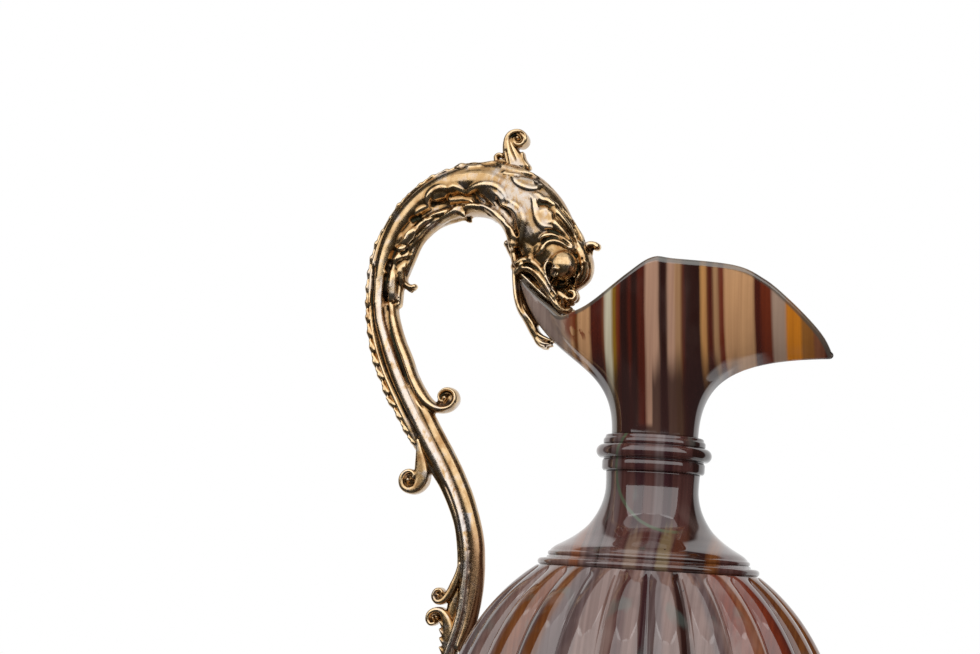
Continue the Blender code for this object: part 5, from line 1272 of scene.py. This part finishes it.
# Leaves of the tuft: places and half widths
TUFT = (
    (((-36.2, 235.2), (-34.6, 233.0), (-32.4, 231.9), (-30.8, 231.5)), (0.6, 0.8, 0.7, 0.35)),
    (((-36.4, 233.9), (-34.9, 231.8), (-33.2, 230.6), (-31.2, 230.4)), (0.6, 0.85, 0.75, 0.35)),
    (((-36.0, 233.2), (-35.0, 231.2), (-33.7, 229.9), (-32.4, 229.5)), (0.5, 0.7, 0.6, 0.3)),
)
JAW_RIDGE = ((-41.9, 250.6), (-41.1, 246.4), (-40.6, 242.8), (-39.4, 239.6), (-37.2, 236.8), (-35.4, 234.2))


def make_jaw():
    """Strap of the lower jaw that hooks under the lip and ends in a tuft."""
    clay = Clay(JAW_STRAP)
    surface = Surface(clay)
    for places, half in TUFT:
        clay.tube(places, half, 1.6, y=-1.9)
        clay.tube(places, half, 1.2)
    drape(clay, surface, JAW_RIDGE, (0.3, 0.4, 0.4, 0.45, 0.5, 0.4), 0.45)
    return clay.cast("jaw_casting", SCROLL_VOXEL)


def make_saddle():
    """Leaf that seats the handle's foot on the body."""
    clay = Clay()
    deep = 6.3 * np.sin(math.pi * np.linspace(0.08, 0.88, 12))
    path = [(-(float(body_radius(z)) + 1.15), float(z)) for z in np.linspace(108.6, 129.4, 12)]
    clay.tube(path, 0.95, deep, sides=26)
    for share in (0.0, 0.45):
        clay.tube([(x - 0.75, z) for x, z in path[1:-1]], 0.45, 0.5, y=-share * deep[1:-1])
    return clay.cast("saddle_casting", SCROLL_VOXEL)


def make_lower_pieces():
    """Foot, knop and their rings, turned."""
    pieces = {}
    step, rim = 0.8, 35.2
    lip = rim - 1.6 - step
    section = [(27.0, 0.0), (rim - step, 0.0), (rim, step)]
    section += arc((rim - step, 3 * step), step, -70, 70, 8)
    section += arc((rim - step, 5.4 * step), step * 0.8, -70, 70, 8)
    section += [(rim - 1.6 * step, 6.4), (lip, 6.4), (lip, 3.0), (27.0, 3.0)]
    pieces["foot_rim"] = turned("foot_rim_ring", rounded(section, 0.2), 240)
    edge, low, high, top = lip - 0.3, 3.3, 28.0, 10.0
    outer = [(edge, low), (edge, low + 3.4), (edge - 0.5, low + 3.9), (edge - 1.1, low + 4.1)]
    start_r, start_z = outer[-1]
    for t in np.arange(1, 61) / 60:
        outer.append((start_r + (top - start_r) * math.sin(t * math.pi / 2) ** 1.35,
                      start_z + (high - start_z) * (0.42 * t + 0.58 * t ** 3)))

    def foot_ripple(angles, z):
        share = (z - low) / (high - low)
        return lobes(angles, 1.6, (share - 0.16) / 0.12, (0.86 - share) / 0.2)

    section = outer + [(BOLT_HOLE, high), (BOLT_HOLE, 4.9), (27.0, 4.9), (27.0, low)]
    pieces["foot"] = turned("foot_stone", section, LOBES * 14, foot_ripple, len(outer))
    for name, radius, base, height in (("foot_collar", 11.4, 28.3, 2.8), ("knop_collar", 11.2, 44.1, 2.4)):
        fillet = radius - height / 3
        section = [(BOLT_HOLE, base), (fillet, base), (fillet, base + height / 6)]
        section += arc((fillet, base + height / 2), height / 3, -60, 60, 10)
        section += [(fillet, base + height * 5 / 6), (fillet, base + height), (BOLT_HOLE, base + height)]
        pieces[name] = turned(name + "_ring", rounded(section, 0.12), 160)
    section = [(BOLT_HOLE, 31.4), (9.4, 31.4)]
    section += [(9.4 + 3.8 * math.sin(math.pi * t) ** 0.7, 31.4 + 12.4 * (0.06 + 0.88 * t))
                for t in np.linspace(0, 1, 40)]
    section += [(9.4, 43.8), (BOLT_HOLE, 43.8)]
    pieces["stem_knop"] = turned("knop_stone", section, 160)
    return pieces


def make_calyx():
    """Gilt cup of petals with raised ribs that holds the bottom of the body."""
    petals = 12
    angles = around(petals * 24)
    base, floor, top = 46.8, 50.7, 56.6
    across = np.sin(angles * petals / 2) ** 2

    def petal_ring(share, thick):
        z = floor + (top - floor) * share * (1 - 0.42 * across ** 3)
        rib = 0.35 * (1 - across) ** 6 * (thick > 0.5)
        return turned_ring(body_radius(np.maximum(z, BODY_Z)) + 0.3 + thick + rib, z, angles)

    rings = [turned_ring(r, z, angles) for r, z in (
        (BOLT_HOLE, base), (10.4, base), (10.6, base + 0.2), (10.6, base + 1.1))]
    rings += [petal_ring(share, 1.25) for share in np.linspace(0.04, 0.94, 14)]
    rings += [petal_ring(1.0, 0.95), petal_ring(1.0, 0.25)]
    rings += [petal_ring(share, 0.0) for share in np.linspace(0.94, 0.04, 8)]
    rings += [turned_ring(r, floor, angles) for r in (float(body_radius(BODY_Z)) + 0.3, BOLT_HOLE)]
    return loft("calyx_cup", np.array(rings))


def dress(piece, material, slot, *nodes):
    """Hold a piece inside the CAD box, give it its finish, attach it to the root and hide the CAD nodes that it
    stands in for.
    """
    verts = mesh_arrays(piece.data)[0]
    put_verts(piece.data, np.clip(verts, np.array(CAD_BOX[0]) / MM, np.array(CAD_BOX[1]) / MM))
    piece.data.materials.clear()
    piece.data.materials.append(material)
    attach(piece, "root")
    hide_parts(*nodes)


STONE_LIP = agate("agate_lip", LIP_BANDS, 245.0, -18.0, lean=0.045, warp=0.5, soft=0.35, cloud=0.08, tint=0.08,
                  flame=229.0, bite=(-21.9, 235.2), gain=1.12, streaks=0.45)
STONE_BODY = agate("agate_body", BODY_BANDS, 160.0, -38.0, fan=40.4)
STONE_NECK = agate("agate_neck", NECK_BANDS, 190.0, -15.0, warp=0.5, soft=0.3, cloud=0.25, tint=0.15,
                   vein=((8.8, 196.4), 17.3))
GILT_CAST = gilt("gilt_cast", cavity=True)
GILT_RING = gilt("gilt_ring")
STONE_FOOT = agate("agate_foot", BODY_BANDS, 20.0, -20.0, fan=30.0)
BRASS = plain("brass", (0.60, 0.45, 0.22), 0.35)
STEEL = plain("steel", (0.48, 0.48, 0.49), 0.32)
GASKET = plain("gasket", (0.05, 0.045, 0.04), 0.75, 0.0)

dress(make_body(), STONE_BODY, "agate_dark", "body")
dress(make_neck(), STONE_NECK, "agate_dark", "neck")
dress(make_collar(), STONE_NECK, "agate_dark", "neck_collar")
dress(make_lip(), STONE_LIP, "agate_light", "lip_section")

dress(make_handle(), GILT_CAST, "gilt", "handle_scroll", "inner_scroll", "beast_head", "brow_curl",
      "throat_curl", "dorsal_leaf_back", "dorsal_leaf_front", "mane_fin_left", "mane_fin_right",
      "acanthus_left", "acanthus_right", "inner_leaf_curl")
tail_upper, tail_lower = make_tails()
for node, casting in (("crest_strip", make_crest_strip()), ("crest_curl", make_crest_curl()),
                      ("tail_scroll_upper", tail_upper), ("tail_scroll_lower", tail_lower),
                      ("lower_jaw", make_jaw()), ("handle_saddle", make_saddle())):
    weather(casting)
    dress(casting, GILT_CAST, "gilt", node)
lower = make_lower_pieces()
for node in ("foot_rim", "foot_collar", "knop_collar"):
    dress(lower[node], GILT_RING, "gilt", node)
for node in ("foot", "stem_knop"):
    dress(lower[node], STONE_FOOT, "agate_light", node)
dress(make_calyx(), GILT_RING, "gilt", "body_calyx")

# CAD nodes that stay get their finish
FINISHES = {"agate_light": STONE_NECK, "agate_dark": STONE_NECK, "gilt": GILT_RING, "gilt_worn": GILT_RING,
            "brass": BRASS, "steel": STEEL, "gasket": GASKET}
for subpart in frame["record"]["subparts"]:
    node = frame["nodes"][subpart["node"]]
    if not node.hide_render:
        node.data.materials.clear()
        node.data.materials.append(FINISHES[subpart["material_slot"]])

make_studio()
